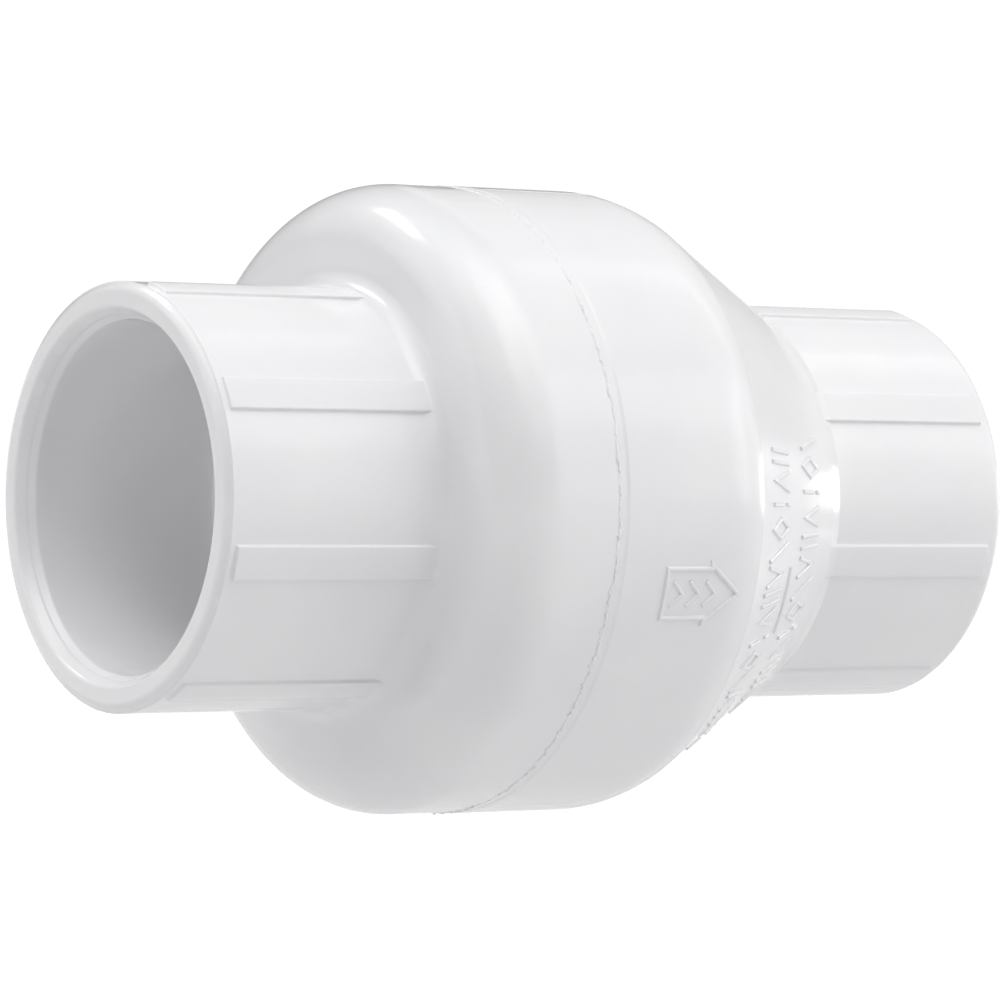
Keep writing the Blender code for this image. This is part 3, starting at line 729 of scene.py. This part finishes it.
def make_weld_flash():
    """The rough line of plastic squeezed out along the seam.

    It is a low ridge that wanders, thins and tears, more so in its lower half.
    """
    rings = []
    for angle in even_angles(FLASH_STEPS):
        lower = 0.5 - 0.5 * math.sin(angle)
        wander = ripple(angle, 3.3) * 0.35 + ripple(angle, 19.0) * (0.2 + 0.3 * lower)
        wander += ripple(angle, 90.0) * (0.12 + 0.4 * lower)
        ridge = SEAM_X + wander
        height = 0.14 + 0.16 * ripple(angle, 11.0, 9) + (0.12 + 0.2 * lower) * ripple(angle, 60.0, 5)
        height = min(0.36, max(-0.05, height))
        half = 0.2 + (0.07 + 0.2 * lower) * ripple(angle, 70.0, 12)
        lean = (0.12 + 0.2 * lower) * ripple(angle, 50.0, 15)
        section = [
            (ridge - half - 0.1, -0.12),
            (ridge - half, height * 0.15),
            (ridge - 0.35 * half + lean, height * 0.9),
            (ridge + lean, height),
            (ridge + 0.4 * half + lean, height * 0.8),
            (ridge + half, height * 0.15),
            (ridge + half + 0.1, -0.12),
            (ridge, -0.2),
        ]
        rings.append([around_x(x, INLET_BODY_R + up, angle) for x, up in section])
    place(grid_mesh("weld_flash", rings), "valve_body", "weld_pvc", ["weld_bead"], sharp=80)


# ---------------------------------------- raised marks


def on_outlet(x, up):
    """(x, r) of a point a little above the outlet half's outside, square to it."""
    if x < CONE_CREASE[0]:
        return (x, OUTLET_BODY_R + up)
    tilt = math.atan(CONE_SLOPE)
    r = CONE_CREASE[1] - CONE_SLOPE * (x - CONE_CREASE[0])
    return (x + up * math.sin(tilt), r + up * math.cos(tilt))


def even_path(points, closed, spacing=0.6):
    """Points along straight strokes, close enough together to follow the curved wall."""
    out = []
    for here, there in zip(points, points[1:] + points[:1] if closed else points[1:]):
        count = max(1, math.ceil(math.dist(here, there) / spacing))
        out += [between(here, there, k / count) for k in range(count)]
    if not closed:
        out.append(points[-1])
    return out


def raised_stroke(points, closed, width, height, x0, angle0, r0):
    """Rings of a raised bar along a path of (along, round) offsets from a place on the outlet half."""
    path = even_path(points, closed)
    count = len(path)
    section = [
        (-0.5 * width - 0.1, -0.15),
        (-0.5 * width - 0.02, 0.35 * height),
        (-0.5 * width + 0.05, 0.8 * height),
        (-0.5 * width + 0.16, height),
        (0.5 * width - 0.16, height),
        (0.5 * width - 0.05, 0.8 * height),
        (0.5 * width + 0.02, 0.35 * height),
        (0.5 * width + 0.1, -0.15),
    ]
    rings = []
    for i, (a, b) in enumerate(path):
        before = path[i - 1] if closed or i else None
        after = path[(i + 1) % count] if closed or i < count - 1 else None
        one = Vector((a - before[0], b - before[1])).normalized() if before else None
        two = Vector((after[0] - a, after[1] - b)).normalized() if after else None
        one = one or two
        two = two or one
        along = (one + two).normalized()
        across = Vector((-along.y, along.x))
        stretch = 1 / max(0.35, across.dot(Vector((-one.y, one.x))))
        ring = []
        for side, up in section:
            offset = across * side * stretch
            x, r = on_outlet(x0 + a + offset.x, up)
            ring.append(around_x(x, r, angle0 + (b + offset.y) / r0))
        rings.append(ring)
    return rings


def stroke_mesh(bm, rings, closed):
    verts = [[bm.verts.new(point) for point in ring] for ring in rings]
    for c in range(len(rings) if closed else len(rings) - 1):
        join_rings(bm, verts[c], verts[(c + 1) % len(rings)])
    if not closed:
        bm.faces.new(verts[0])
        bm.faces.new(verts[-1])


def marks_object(name, strokes):
    bm = bmesh.new()
    for rings, closed in strokes:
        stroke_mesh(bm, rings, closed)
    place(finished_mesh(name, bm), "valve_body", "white_pvc", [], sharp=70)


def make_flow_arrow():
    """A raised outline arrow that points downstream, with three plain chevrons inside."""
    x0, angle0 = 0.6, math.radians(-16.5)
    arrow = [(-6.0, -3.5), (1.5, -3.5), (1.5, -4.05), (6.6, 0.0), (1.5, 4.05), (1.5, 3.5), (-6.0, 3.5)]
    strokes = [(raised_stroke(arrow, True, 0.58, 0.32, x0, angle0, OUTLET_BODY_R), True)]
    for middle in (-3.9, -1.1, 1.7):
        chevron = [(middle - 0.9, -1.8), (middle + 0.9, 0.0), (middle - 0.9, 1.8)]
        strokes.append((raised_stroke(chevron, False, 0.5, 0.26, x0, angle0, OUTLET_BODY_R), False))
    marks_object("flow_arrow", strokes)


# Each pattern: its strokes as (along, round) offsets in millimetres, and whether they close
CONE_PATTERNS = [
    ([[(-2.6, -0.8), (2.6, -0.8)], [(-2.6, 0.8), (2.6, 0.8)]], False),
    ([[(-2.4, -1.35), (1.9, 0.0), (-2.4, 1.35)]], False),
    ([[(-2.6, -1.1), (2.6, 1.1)]], False),
    ([[(-2.4, 0.0), (0.0, -1.35), (2.4, 0.0), (0.0, 1.35)]], True),
    ([[(-2.6, 0.0), (0.4, 0.0)], [(1.6, 0.0), (2.6, 0.0)]], False),
    ([[(2.4, -1.35), (-1.9, 0.0), (2.4, 1.35)]], False),
]
# Each row: (x, first angle, last angle, number of marks, first pattern, step to the next pattern)
CONE_ROWS = [
    (17.2, 9, -58, 15, 0, 5),
    (27.0, 14, -56, 13, 2, 1),
]
# The long bar: (x, angle, half its length)
CONE_BAR = (22.0, -22, 5.0)


def make_cone_marks():
    """Two plain rows of raised bars, chevrons and diamonds round the cone, and one long bar."""
    strokes = []
    for x0, first, last, count, start, stride in CONE_ROWS:
        r0 = on_outlet(x0, 0)[1]
        for i in range(count):
            angle0 = math.radians(first + (last - first) * i / (count - 1))
            paths, closed = CONE_PATTERNS[(start + i * stride) % len(CONE_PATTERNS)]
            strokes += [(raised_stroke(p, closed, 0.55, 0.3, x0, angle0, r0), closed) for p in paths]
    x0, angle0, half_length = CONE_BAR
    r0 = on_outlet(x0, 0)[1]
    long_bar = [(0.0, -half_length), (0.0, half_length)]
    strokes.append((raised_stroke(long_bar, False, 0.5, 0.3, x0, math.radians(angle0), r0), False))
    marks_object("cone_marks", strokes)


# ---------------------------------------- seat and hinge


def make_seat():
    """The ring with the raised lip that the seal closes on, and the O-ring in the groove behind it."""
    depth, half_width = O_RING_GROOVE
    lip_x = BULKHEAD_X + 1.6
    outline = [
        (SEAT_BACK_X, BORE_R, 0.2),
        (SEAT_BACK_X, O_RING_R - half_width, 0),
        (SEAT_BACK_X + depth, O_RING_R - half_width, 0.15),
        (SEAT_BACK_X + depth, O_RING_R + half_width, 0.15),
        (SEAT_BACK_X, O_RING_R + half_width, 0),
        (SEAT_BACK_X, SEAT_R, 0.2),
        (BULKHEAD_X, SEAT_R, 0.3),
        (BULKHEAD_X, 23.4, 0.5),
        (lip_x, 22.8, 0.6),
        (lip_x, 21.45, 0.6),
        (BULKHEAD_X - 0.4, BORE_R, 0.5),
    ]
    ring = lathe("seat_ring_fine", rounded(outline, COARSE_STEP), LARGE_ROUND)
    place(ring, "valve_body", "grey_pvc", ["seat_ring"])
    points = 24
    last = math.tau * (points - 1) / points
    section = arc_points((SEAT_BACK_X + O_RING_WIRE_R, O_RING_R), O_RING_WIRE_R, 0, last, points - 1)
    place(lathe("o_ring_fine", section, LARGE_ROUND), "valve_body", "black_epdm", ["seat_o_ring"])


def cut_cross_recess(screw, top):
    """A cross drive in a head that faces +X: two crossed slots that narrow towards the bottom."""
    bottom = top - RECESS_DEPTH
    slot = [(top + 0.5, -1.45), (top + 0.5, 1.45), (bottom, 0.5), (bottom, -0.5)]
    for turn in (0, 90):
        blade = prism("recess", slot, "Y", -0.28, 0.28)
        blade.transform(Matrix.Rotation(math.radians(turn), 4, "X"))
        cut(screw, "DIFFERENCE", blade)


def make_self_tapper(node):
    """A pan head screw with a cross recess and a coarse thread."""
    low, high = node_box(node)
    head_x, top = high.x - 2.2, high.x
    thread = []
    x = low.x + 1.2
    while x < head_x - 0.3:
        thread += [(x, 1.22, 0), (x + 0.18, 1.5, 0), (x + 0.36, 1.22, 0)]
        x += THREAD_PITCH
    outline = [
        (low.x, 0, 0),
        (low.x, 0.5, 0),
        *thread,
        (head_x, 1.25, 0.1),
        (head_x, 2.75, 0.15),
        (top - 0.7, 2.8, 0.6),
        (top, 1.6, 1.6),
        (top, 0, 0),
    ]
    screw = loose(lathe(f"{node}_fine", rounded(outline, FINE_STEP), SCREW_ROUND))
    cut_cross_recess(screw, top)
    middle = (low + high) / 2
    place(screw, "valve_body", "stainless", [node], at=(0, middle.y, middle.z), sharp=35)


def make_hinge_bracket():
    """The plate with two ears that carry the pin, and a small shelf for the spring's fixed leg."""
    plate_x = (BULKHEAD_X + GAP, BULKHEAD_X + GAP + BRACKET_THICKNESS)
    plate = rounded_box((-15, 15), (26.0, 32.4), 1.2)
    bracket = loose(prism("hinge_bracket_fine", plate, "X", *plate_x))
    root_x = plate_x[0] + 1
    nose = arc_points((PIN.x, PIN.z), EAR_R, math.radians(-105), math.radians(95), 40)
    ear = [(root_x, 26.4), *nose, (root_x, 32.0)]
    for sign in (-1, 1):
        low, high = sorted(sign * y for y in EAR_Y)
        cut(bracket, "UNION", prism("ear", ear, "Y", low, high))
    shelf = rounded_box((root_x, -20.8), (25.4, 26.6), 0.2)
    cut(bracket, "UNION", prism("shelf", shelf, "Y", -5.2, 5.2))
    pin_hole = lathe("pin_hole", rod(-20, 20, PIN_R + 0.25), SMALL_ROUND, "Y")
    pin_hole.transform(Matrix.Translation(PIN))
    cut(bracket, "DIFFERENCE", pin_hole)
    for y in (-BRACKET_SCREW_Y, BRACKET_SCREW_Y):
        hole = lathe("screw_hole", rod(-40, -20, 1.75), SCREW_ROUND)
        hole.transform(Matrix.Translation((0, y, BRACKET_SCREW_Z)))
        cut(bracket, "DIFFERENCE", hole)
    soften(bracket, 0.3)
    place(bracket, "valve_body", "grey_pvc", ["hinge_bracket"], sharp=35)


def make_hinge_pin():
    right = [
        (15.2, PIN_R, 0.1),
        (15.2, 1.6, 0.08),
        (16.4, 1.6, 0.08),
        (16.4, PIN_R, 0.1),
        (17.7, PIN_R, 0.15),
        (18.0, 1.65, 0.1),
        (17.9, 0.5, 0.1),
        (17.6, 0, 0),
    ]
    left = [(-y, r, rounding) for y, r, rounding in reversed(right)]
    pin = lathe("hinge_pin_fine", rounded(left + right, COARSE_STEP), SMALL_ROUND, "Y")
    place(pin, "valve_body", "stainless", ["hinge_pin"], at=PIN)


def make_pin_clips():
    """Open E-clips whose three prongs sit in the pin's grooves, the gap facing down."""
    up = 90
    half = 125
    outer = arc_points((0, 0), 3.8, math.radians(up - half), math.radians(up + half), 60)
    inner = []
    for radius, start, end in (
        (1.75, half, 92),
        (2.75, 80, 24),
        (1.75, 14, -14),
        (2.75, -24, -80),
        (1.75, -92, -half),
    ):
        inner += arc_points((0, 0), radius, math.radians(up + start), math.radians(up + end), 12)
    for side, sign in (("left", -1), ("right", 1)):
        low, high = sign * PIN_GROOVE_Y - CLIP_THICKNESS / 2, sign * PIN_GROOVE_Y + CLIP_THICKNESS / 2
        clip = loose(prism(f"pin_clip_{side}_fine", outer + inner, "Y", low, high))
        soften(clip, 0.1, 2)
        place(clip, "valve_body", "stainless", [f"pin_clip_{side}"], at=PIN, sharp=35)


def make_hinge_bushes():
    for side, sign in (("left", -1), ("right", 1)):
        outline = [
            (sign * 5.6, PIN_R + 0.2, 0.15),
            (sign * 5.6, BUSH_R, 0.25),
            (sign * 11.2, BUSH_R, 0.1),
            (sign * 11.2, 4.3, 0.15),
            (sign * 12.0, 4.3, 0.25),
            (sign * 12.0, PIN_R + 0.2, 0.2),
        ]
        mesh = lathe(f"hinge_bush_{side}_fine", rounded(outline, COARSE_STEP), SMALL_ROUND, "Y")
        place(mesh, "clapper", "white_acetal", [f"hinge_bush_{side}"], at=PIN)


def make_torsion_spring():
    """A closely wound spring: its fixed leg rests on the shelf, the other lies just behind the arm's
    back.
    """
    wire_r, coil_r, half_length = 0.5, 3.5, 3.9
    turns, steps = 6.25, 250
    start = math.radians(-90)
    total = turns * math.tau
    fixed_leg_x = -22.4 - PIN.x
    path = [Vector((fixed_leg_x + 1.6 * k, -half_length, -coil_r)) for k in range(4)]
    for i in range(steps + 1):
        angle = start + total * i / steps
        y = half_length * (2 * i / steps - 1)
        path.append(Vector((coil_r * math.cos(angle), y, coil_r * math.sin(angle))))
    arm_back = ARM_X[1] - PIN.x
    moving_leg_x = arm_back + GAP + wire_r
    path += [Vector((moving_leg_x, half_length, -z)) for z in (2.5, 4.5, 8.0, 11.0, 13.6)]
    wire = tube("torsion_spring_fine", path, wire_r, 12)
    spring = place(wire, None, "stainless", ["torsion_spring"], at=PIN)
    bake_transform(spring)


# ---------------------------------------- clapper


def make_arm():
    """The swinging arm: a fork with two knuckles on the pin, and an eye for the clapper's stud."""
    eye_top = math.asin(ARM_NECK_Y / ARM_EYE_R)
    eye = arc_points((0, 0), ARM_EYE_R, math.radians(90) + eye_top, math.radians(450) - eye_top, 64)
    right = [(ARM_NECK_Y, 17.0), (9.8, 24.0), (9.8, PIN.z), (5.52, PIN.z), (5.52, 25.6)]
    outline = eye + right + [(-y, z) for y, z in reversed(right)]
    arm = loose(prism("clapper_arm_fine", outline, "X", *ARM_X))
    for sign in (-1, 1):
        low, high = sorted(sign * y for y in KNUCKLE_Y)
        knuckle = lathe("knuckle", rod(low, high, KNUCKLE_R), SMALL_ROUND, "Y")
        knuckle.transform(Matrix.Translation(PIN))
        cut(arm, "UNION", knuckle)
    bore = lathe("knuckle_bore", rod(-20, 20, BUSH_R + 0.15), SMALL_ROUND, "Y")
    bore.transform(Matrix.Translation(PIN))
    cut(arm, "DIFFERENCE", bore)
    cut(arm, "DIFFERENCE", lathe("eye_bore", rod(-30, 0, 3.75), SMALL_ROUND))
    soften(arm, 0.45)
    place(arm, "clapper", "grey_pvc", ["clapper_arm"], sharp=35)


def make_disc():
    """The stiff disc behind the seal: a rim, a boss and eight tapering radial ribs."""
    outline = [
        (-21.8, DISC_HOLE_R, 0),
        (-21.8, 24.0, 0.3),
        (-18.8, 24.0, 0.8),
        (-18.8, 22.4, 0.3),
        (-19.3, 21.8, 0.4),
        (-19.3, 7.6, 0.5),
        (-16.9, 6.7, 0.3),
        (-16.9, DISC_HOLE_R, 0.2),
    ]
    disc = loose(lathe("clapper_disc_fine", rounded(outline, FINE_STEP), LARGE_ROUND))
    profile = [(-20.5, 3.6), (-17.3, 3.6), (-17.3, 12.0), (-18.5, 21.9), (-20.5, 22.6)]
    for i in range(DISC_RIBS):
        rib = prism("disc_rib", profile, "Y", -0.8, 0.8)
        rib.transform(Matrix.Rotation(math.tau * (i + 0.5) / DISC_RIBS, 4, "X"))
        cut(disc, "UNION", rib)
    soften(disc, 0.22, 2, 50)
    place(disc, "disc", "white_pvc", ["clapper_disc"], sharp=35)


# The rings clamped on the stud: (node, finish, segments, outline)
STACK = [
    ("clapper_seal", "black_epdm", LARGE_ROUND, [
        (-25.1, STACK_HOLE_R, 0.1),
        (-25.1, 20.9, 0.2),
        (-24.98, 21.4, 0.3),
        (-24.98, 22.9, 0.3),
        (-25.1, 23.4, 0.2),
        (-25.1, 24.5, 0.5),
        (-22.1, 24.5, 0.4),
        (-22.1, STACK_HOLE_R, 0.1),
    ]),
    ("seal_retainer", "stainless", LARGE_ROUND, [
        (-26.9, STACK_HOLE_R, 0.15),
        (-26.9, 7.4, 0.3),
        (-26.7, 8.0, 0.3),
        (-26.7, 15.6, 0.3),
        (-26.9, 16.2, 0.3),
        (-26.9, 18.5, 0.5),
        (-25.4, 18.5, 0.2),
        (-25.4, STACK_HOLE_R, 0.1),
    ]),
    ("stud_sleeve", "stainless", SMALL_ROUND, [
        (-16.6, STACK_HOLE_R, 0.1),
        (-16.6, 3.5, 0.2),
        (-11.3, 3.5, 0.2),
        (-11.3, STACK_HOLE_R, 0.1),
    ]),
    ("clapper_washer", "stainless", MEDIUM_ROUND, [
        (-11.0, STACK_HOLE_R, 0.1),
        (-11.0, 6.0, 0.12),
        (-10.0, 6.0, 0.35),
        (-10.0, STACK_HOLE_R, 0.1),
    ]),
]


def make_stack():
    for node, slot_name, segments, outline in STACK:
        mesh = lathe(f"{node}_fine", rounded(outline, COARSE_STEP), segments)
        place(mesh, "disc", slot_name, [node])


def make_stud():
    """The stud: a low domed head with a hexagon socket upstream, a threaded end downstream."""
    thread = []
    x = -9.9
    while x < -6.2:
        thread += [(x, 2.18, 0), (x + 0.2, STUD_R, 0), (x + 0.3, STUD_R, 0), (x + STUD_PITCH, 2.18, 0)]
        x += STUD_PITCH
    outline = [
        (-29.9, 0, 0),
        (-29.9, 2.4, 1.2),
        (-28.9, 4.6, 0.6),
        (-27.2, 4.6, 0.15),
        (-27.2, STUD_R, 0),
        (-10.2, STUD_R, 0.1),
        *thread,
        (-5.95, 2.2, 0.1),
        (-5.8, 1.7, 0.2),
        (-5.8, 0, 0),
    ]
    stud = loose(lathe("clapper_screw_fine", rounded(outline, FINE_STEP), SMALL_ROUND))
    socket = lathe("socket", [(-31, 0), (-31, 2.3), (-28.6, 2.3), (-28.1, 0)], 6)
    cut(stud, "DIFFERENCE", socket)
    place(stud, "disc", "stainless", ["clapper_screw"], sharp=30)


def make_nut():
    """A hexagon nut with both faces crowned and its thread's mouths countersunk."""
    corner_r = NUT_HALF_WIDTH / math.cos(math.radians(30))
    low, high = NUT_X
    nut = loose(lathe("clapper_nut_fine", rod(low, high, corner_r), 6))
    crown = [
        (low, 0, 0),
        (low, 3.85, 0.2),
        (low + 0.35, corner_r + 0.1, 0),
        (high - 0.35, corner_r + 0.1, 0),
        (high, 3.85, 0.2),
        (high, 0, 0),
    ]
    cut(nut, "INTERSECT", lathe("nut_crown", rounded(crown, COARSE_STEP), MEDIUM_ROUND))
    bore = [
        (low - 1, 0),
        (low - 1, 3.7),
        (low + 0.35, 2.55),
        (high - 0.35, 2.55),
        (high + 1, 3.7),
        (high + 1, 0),
    ]
    cut(nut, "DIFFERENCE", lathe("nut_bore", bore, SMALL_ROUND))
    place(nut, "disc", "stainless", ["clapper_nut"], sharp=30)


# ---------------------------------------- studio

FLOOR_Z = -0.14
FLOOR_REACH = 60.0
VIEW_ANGLE = math.radians(54.308)
VIEW_DISTANCE = 0.76167
VIEW_SIDESTEP = 0.002018
VIEW_ROLL = math.radians(0.383)
LENS_MM = 191.651
SENSOR_MM = 36.0

# Each soft source: (azimuth from the camera's right towards the far side, elevation, angular size,
# radiance on a white card that faces it), the angles in degrees
LIGHTS = {
    "key_wide": (270, 70, 76, 0.135),
    "key": (270, 70, 56, 0.135),
    "key_core": (270, 70, 38, 0.13),
    "front_right": (300, 50, 60, 0.178),
    "front_left": (240, 50, 60, 0.068),
    "left_wide": (180, 50, 80, 0.1),
    "left": (180, 50, 58, 0.1),
    "left_core": (180, 50, 38, 0.085),
    "left_low": (180, 15, 30, 0.06),
    "right": (0, 50, 60, 0.17),
    "right_low": (345, 15, 45, 0.135),
    "right_back": (10, 9, 44, 0.165),
    "back": (60, 30, 60, 0.11),
}
# Each soft box: (azimuth, elevation, distance, width, height, radiance), the sizes in metres
SOFT_BOXES = {
    "left_window": (161, 49, 1.2, 0.42, 0.17, 6.0),
    "right_window": (31.5, 3, 1.2, 0.2, 0.19, 7.0),
}
# A weak light inside the inlet's mouth that shines down the bore: its depth and radius in
# metres, its direction, the angle it spreads over and its radiance
BORE_LIGHT_DEPTH = 0.008
BORE_LIGHT_R = 0.02
BORE_LIGHT_AIM = (1.0, 0.4, 0.0)
BORE_LIGHT_SPREAD = math.radians(110)
BORE_LIGHT_RADIANCE = 0.23
HORIZON_RADIANCE = 1.03
ZENITH_RADIANCE = 0.03
# The sine of the elevation where the bright horizon starts to fade, and where it has faded out
HORIZON_FADE = (0.095, 0.16)
# The floor glows beyond this distance, so that it meets the horizon without a line
FLOOR_GLOW_START = 0.55
FLOOR_GLOW_END = 0.76
FLOOR_GLOW = 0.38
# The shares of horizon and glow on the near side and round the sides, and the cosines of the angle
# from straight ahead between which each share gives way to the next
NEAR_SHARE = 0.12
SIDE_SHARE = 0.43
NEAR_TO_SIDE = (-0.45, -0.15)
SIDE_TO_FAR = (0.35, 0.65)


def make_camera():
    ahead = Vector((math.cos(VIEW_ANGLE), math.sin(VIEW_ANGLE), 0))
    right = Vector((ahead.y, -ahead.x, 0))
    data = bpy.data.cameras.new("camera")
    data.sensor_width = SENSOR_MM
    data.lens = LENS_MM
    data.clip_start = 0.01
    data.clip_end = 100
    camera = bpy.data.objects.new("camera", data)
    camera.location = -ahead * VIEW_DISTANCE - right * VIEW_SIDESTEP
    turn = ahead.to_track_quat("-Z", "Y").to_matrix().to_4x4() @ Matrix.Rotation(VIEW_ROLL, 4, "Z")
    camera.rotation_mode = "QUATERNION"
    camera.rotation_quaternion = turn.to_quaternion()
    bpy.context.scene.collection.objects.link(camera)
    bpy.context.scene.camera = camera


def toward(azimuth, elevation):
    """The direction of a light, from angles in degrees measured from the camera's right."""
    turn = VIEW_ANGLE - math.radians(90) + math.radians(azimuth)
    rise = math.radians(elevation)
    return Vector((math.cos(turn) * math.cos(rise), math.sin(turn) * math.cos(rise), math.sin(rise)))


def make_lights():
    for name, (azimuth, elevation, size, radiance) in LIGHTS.items():
        data = bpy.data.lights.new(name, "SUN")
        data.angle = math.radians(size)
        data.energy = radiance * math.pi
        lamp = bpy.data.objects.new(name, data)
        lamp.rotation_mode = "QUATERNION"
        lamp.rotation_quaternion = toward(azimuth, elevation).to_track_quat("Z", "Y")
        bpy.context.scene.collection.objects.link(lamp)


def make_soft_boxes():
    """Bright rectangles that draw the highlights along the shoulders and the cone."""
    for name, (azimuth, elevation, distance, width, height, radiance) in SOFT_BOXES.items():
        data = bpy.data.lights.new(name, "AREA")
        data.shape = "RECTANGLE"
        data.size = width
        data.size_y = height
        data.energy = radiance * math.pi * width * height
        away = toward(azimuth, elevation)
        across = Vector((0, 0, 1)).cross(away).normalized()
        lamp = bpy.data.objects.new(name, data)
        lamp.rotation_mode = "QUATERNION"
        axes = Matrix((across, away.cross(across), away)).transposed()
        lamp.rotation_quaternion = axes.to_quaternion()
        lamp.location = away * distance
        lamp.visible_camera = False
        bpy.context.scene.collection.objects.link(lamp)


def make_bore_light():
    """A weak fill that keeps the deep part of the inlet bore from going dark."""
    data = bpy.data.lights.new("bore_fill", "AREA")
    data.shape = "DISK"
    data.size = 2 * BORE_LIGHT_R
    data.spread = BORE_LIGHT_SPREAD
    data.energy = BORE_LIGHT_RADIANCE * math.pi**2 * BORE_LIGHT_R**2
    lamp = bpy.data.objects.new("bore_fill", data)
    lamp.rotation_mode = "QUATERNION"
    lamp.rotation_quaternion = Vector(BORE_LIGHT_AIM).to_track_quat("-Z", "Y")
    lamp.location.x = -END_X * MM + BORE_LIGHT_DEPTH
    lamp.visible_camera = False
    bpy.context.scene.collection.objects.link(lamp)


def far_share(n):
    """1 on the far side of the set, less round its sides and least on the near side."""
    ahead = (math.cos(VIEW_ANGLE), math.sin(VIEW_ANGLE), 0)
    direction = n.vector_maths("NORMALIZE", {0: n.position})
    cosine = n.vector_maths("DOT_PRODUCT", {0: direction, 1: ahead}, "Value")
    side = n.remap(cosine, NEAR_SHARE, SIDE_SHARE, *NEAR_TO_SIDE, curve="SMOOTHSTEP")
    far = n.remap(cosine, 0.0, 1.0 - SIDE_SHARE, *SIDE_TO_FAR, curve="SMOOTHSTEP")
    return n.maths("ADD", side, far)


def make_world():
    """A dim sky with a band of light round the horizon, brightest on the far side."""
    world = bpy.data.worlds.new("studio")
    world.use_nodes = True
    n = Nodes(world.node_tree, "Generated")
    height = n.add("ShaderNodeSeparateXYZ", {"Vector": n.position}).outputs["Z"]
    band = n.remap(height, HORIZON_RADIANCE - ZENITH_RADIANCE, 0.0, *HORIZON_FADE, curve="SMOOTHSTEP")
    strength = n.maths("ADD", n.maths("MULTIPLY", band, far_share(n)), ZENITH_RADIANCE)
    background = n.tree.nodes["Background"]
    background.inputs["Color"].default_value = (1.0, 1.0, 1.0, 1.0)
    n.tree.links.new(strength, background.inputs["Strength"])
    bpy.context.scene.world = world
    bpy.context.scene.view_settings.view_transform = "Standard"


def make_floor():
    """A wide pale floor that glows softly away from the object, like a lit studio sweep."""
    bm = bmesh.new()
    bmesh.ops.create_grid(bm, x_segments=2, y_segments=2, size=FLOOR_REACH)
    mesh = bpy.data.meshes.new("floor")
    bm.to_mesh(mesh)
    bm.free()
    floor = bpy.data.objects.new("floor", mesh)
    floor.location.z = FLOOR_Z
    bpy.context.scene.collection.objects.link(floor)
    n = Surface("studio_floor")
    colour = n.mix(n.noise(6, 4), (0.68, 0.68, 0.685), (0.71, 0.71, 0.71))
    distance = n.vector_maths("LENGTH", {0: n.position}, "Value")
    glow = n.remap(distance, 0.0, FLOOR_GLOW, FLOOR_GLOW_START, FLOOR_GLOW_END)
    glow = n.maths("MULTIPLY", glow, far_share(n))
    white = (1.0, 1.0, 1.0)
    paint = n.finish(Base_Color=colour, Roughness=0.9, Emission_Color=white, Emission_Strength=glow)
    mesh.materials.append(paint)


# ---------------------------------------- scene


def main():
    make_camera()
    make_world()
    make_lights()
    make_soft_boxes()
    make_bore_light()
    make_floor()
    make_inlet()
    make_outlet()
    make_weld_flash()
    make_flow_arrow()
    make_cone_marks()
    make_seat()
    for node in ("bracket_screw_left", "bracket_screw_right", "seat_screw_left", "seat_screw_right"):
        make_self_tapper(node)
    make_hinge_bracket()
    make_hinge_pin()
    make_pin_clips()
    make_hinge_bushes()
    make_torsion_spring()
    make_arm()
    make_disc()
    make_stack()
    make_stud()
    make_nut()


main()
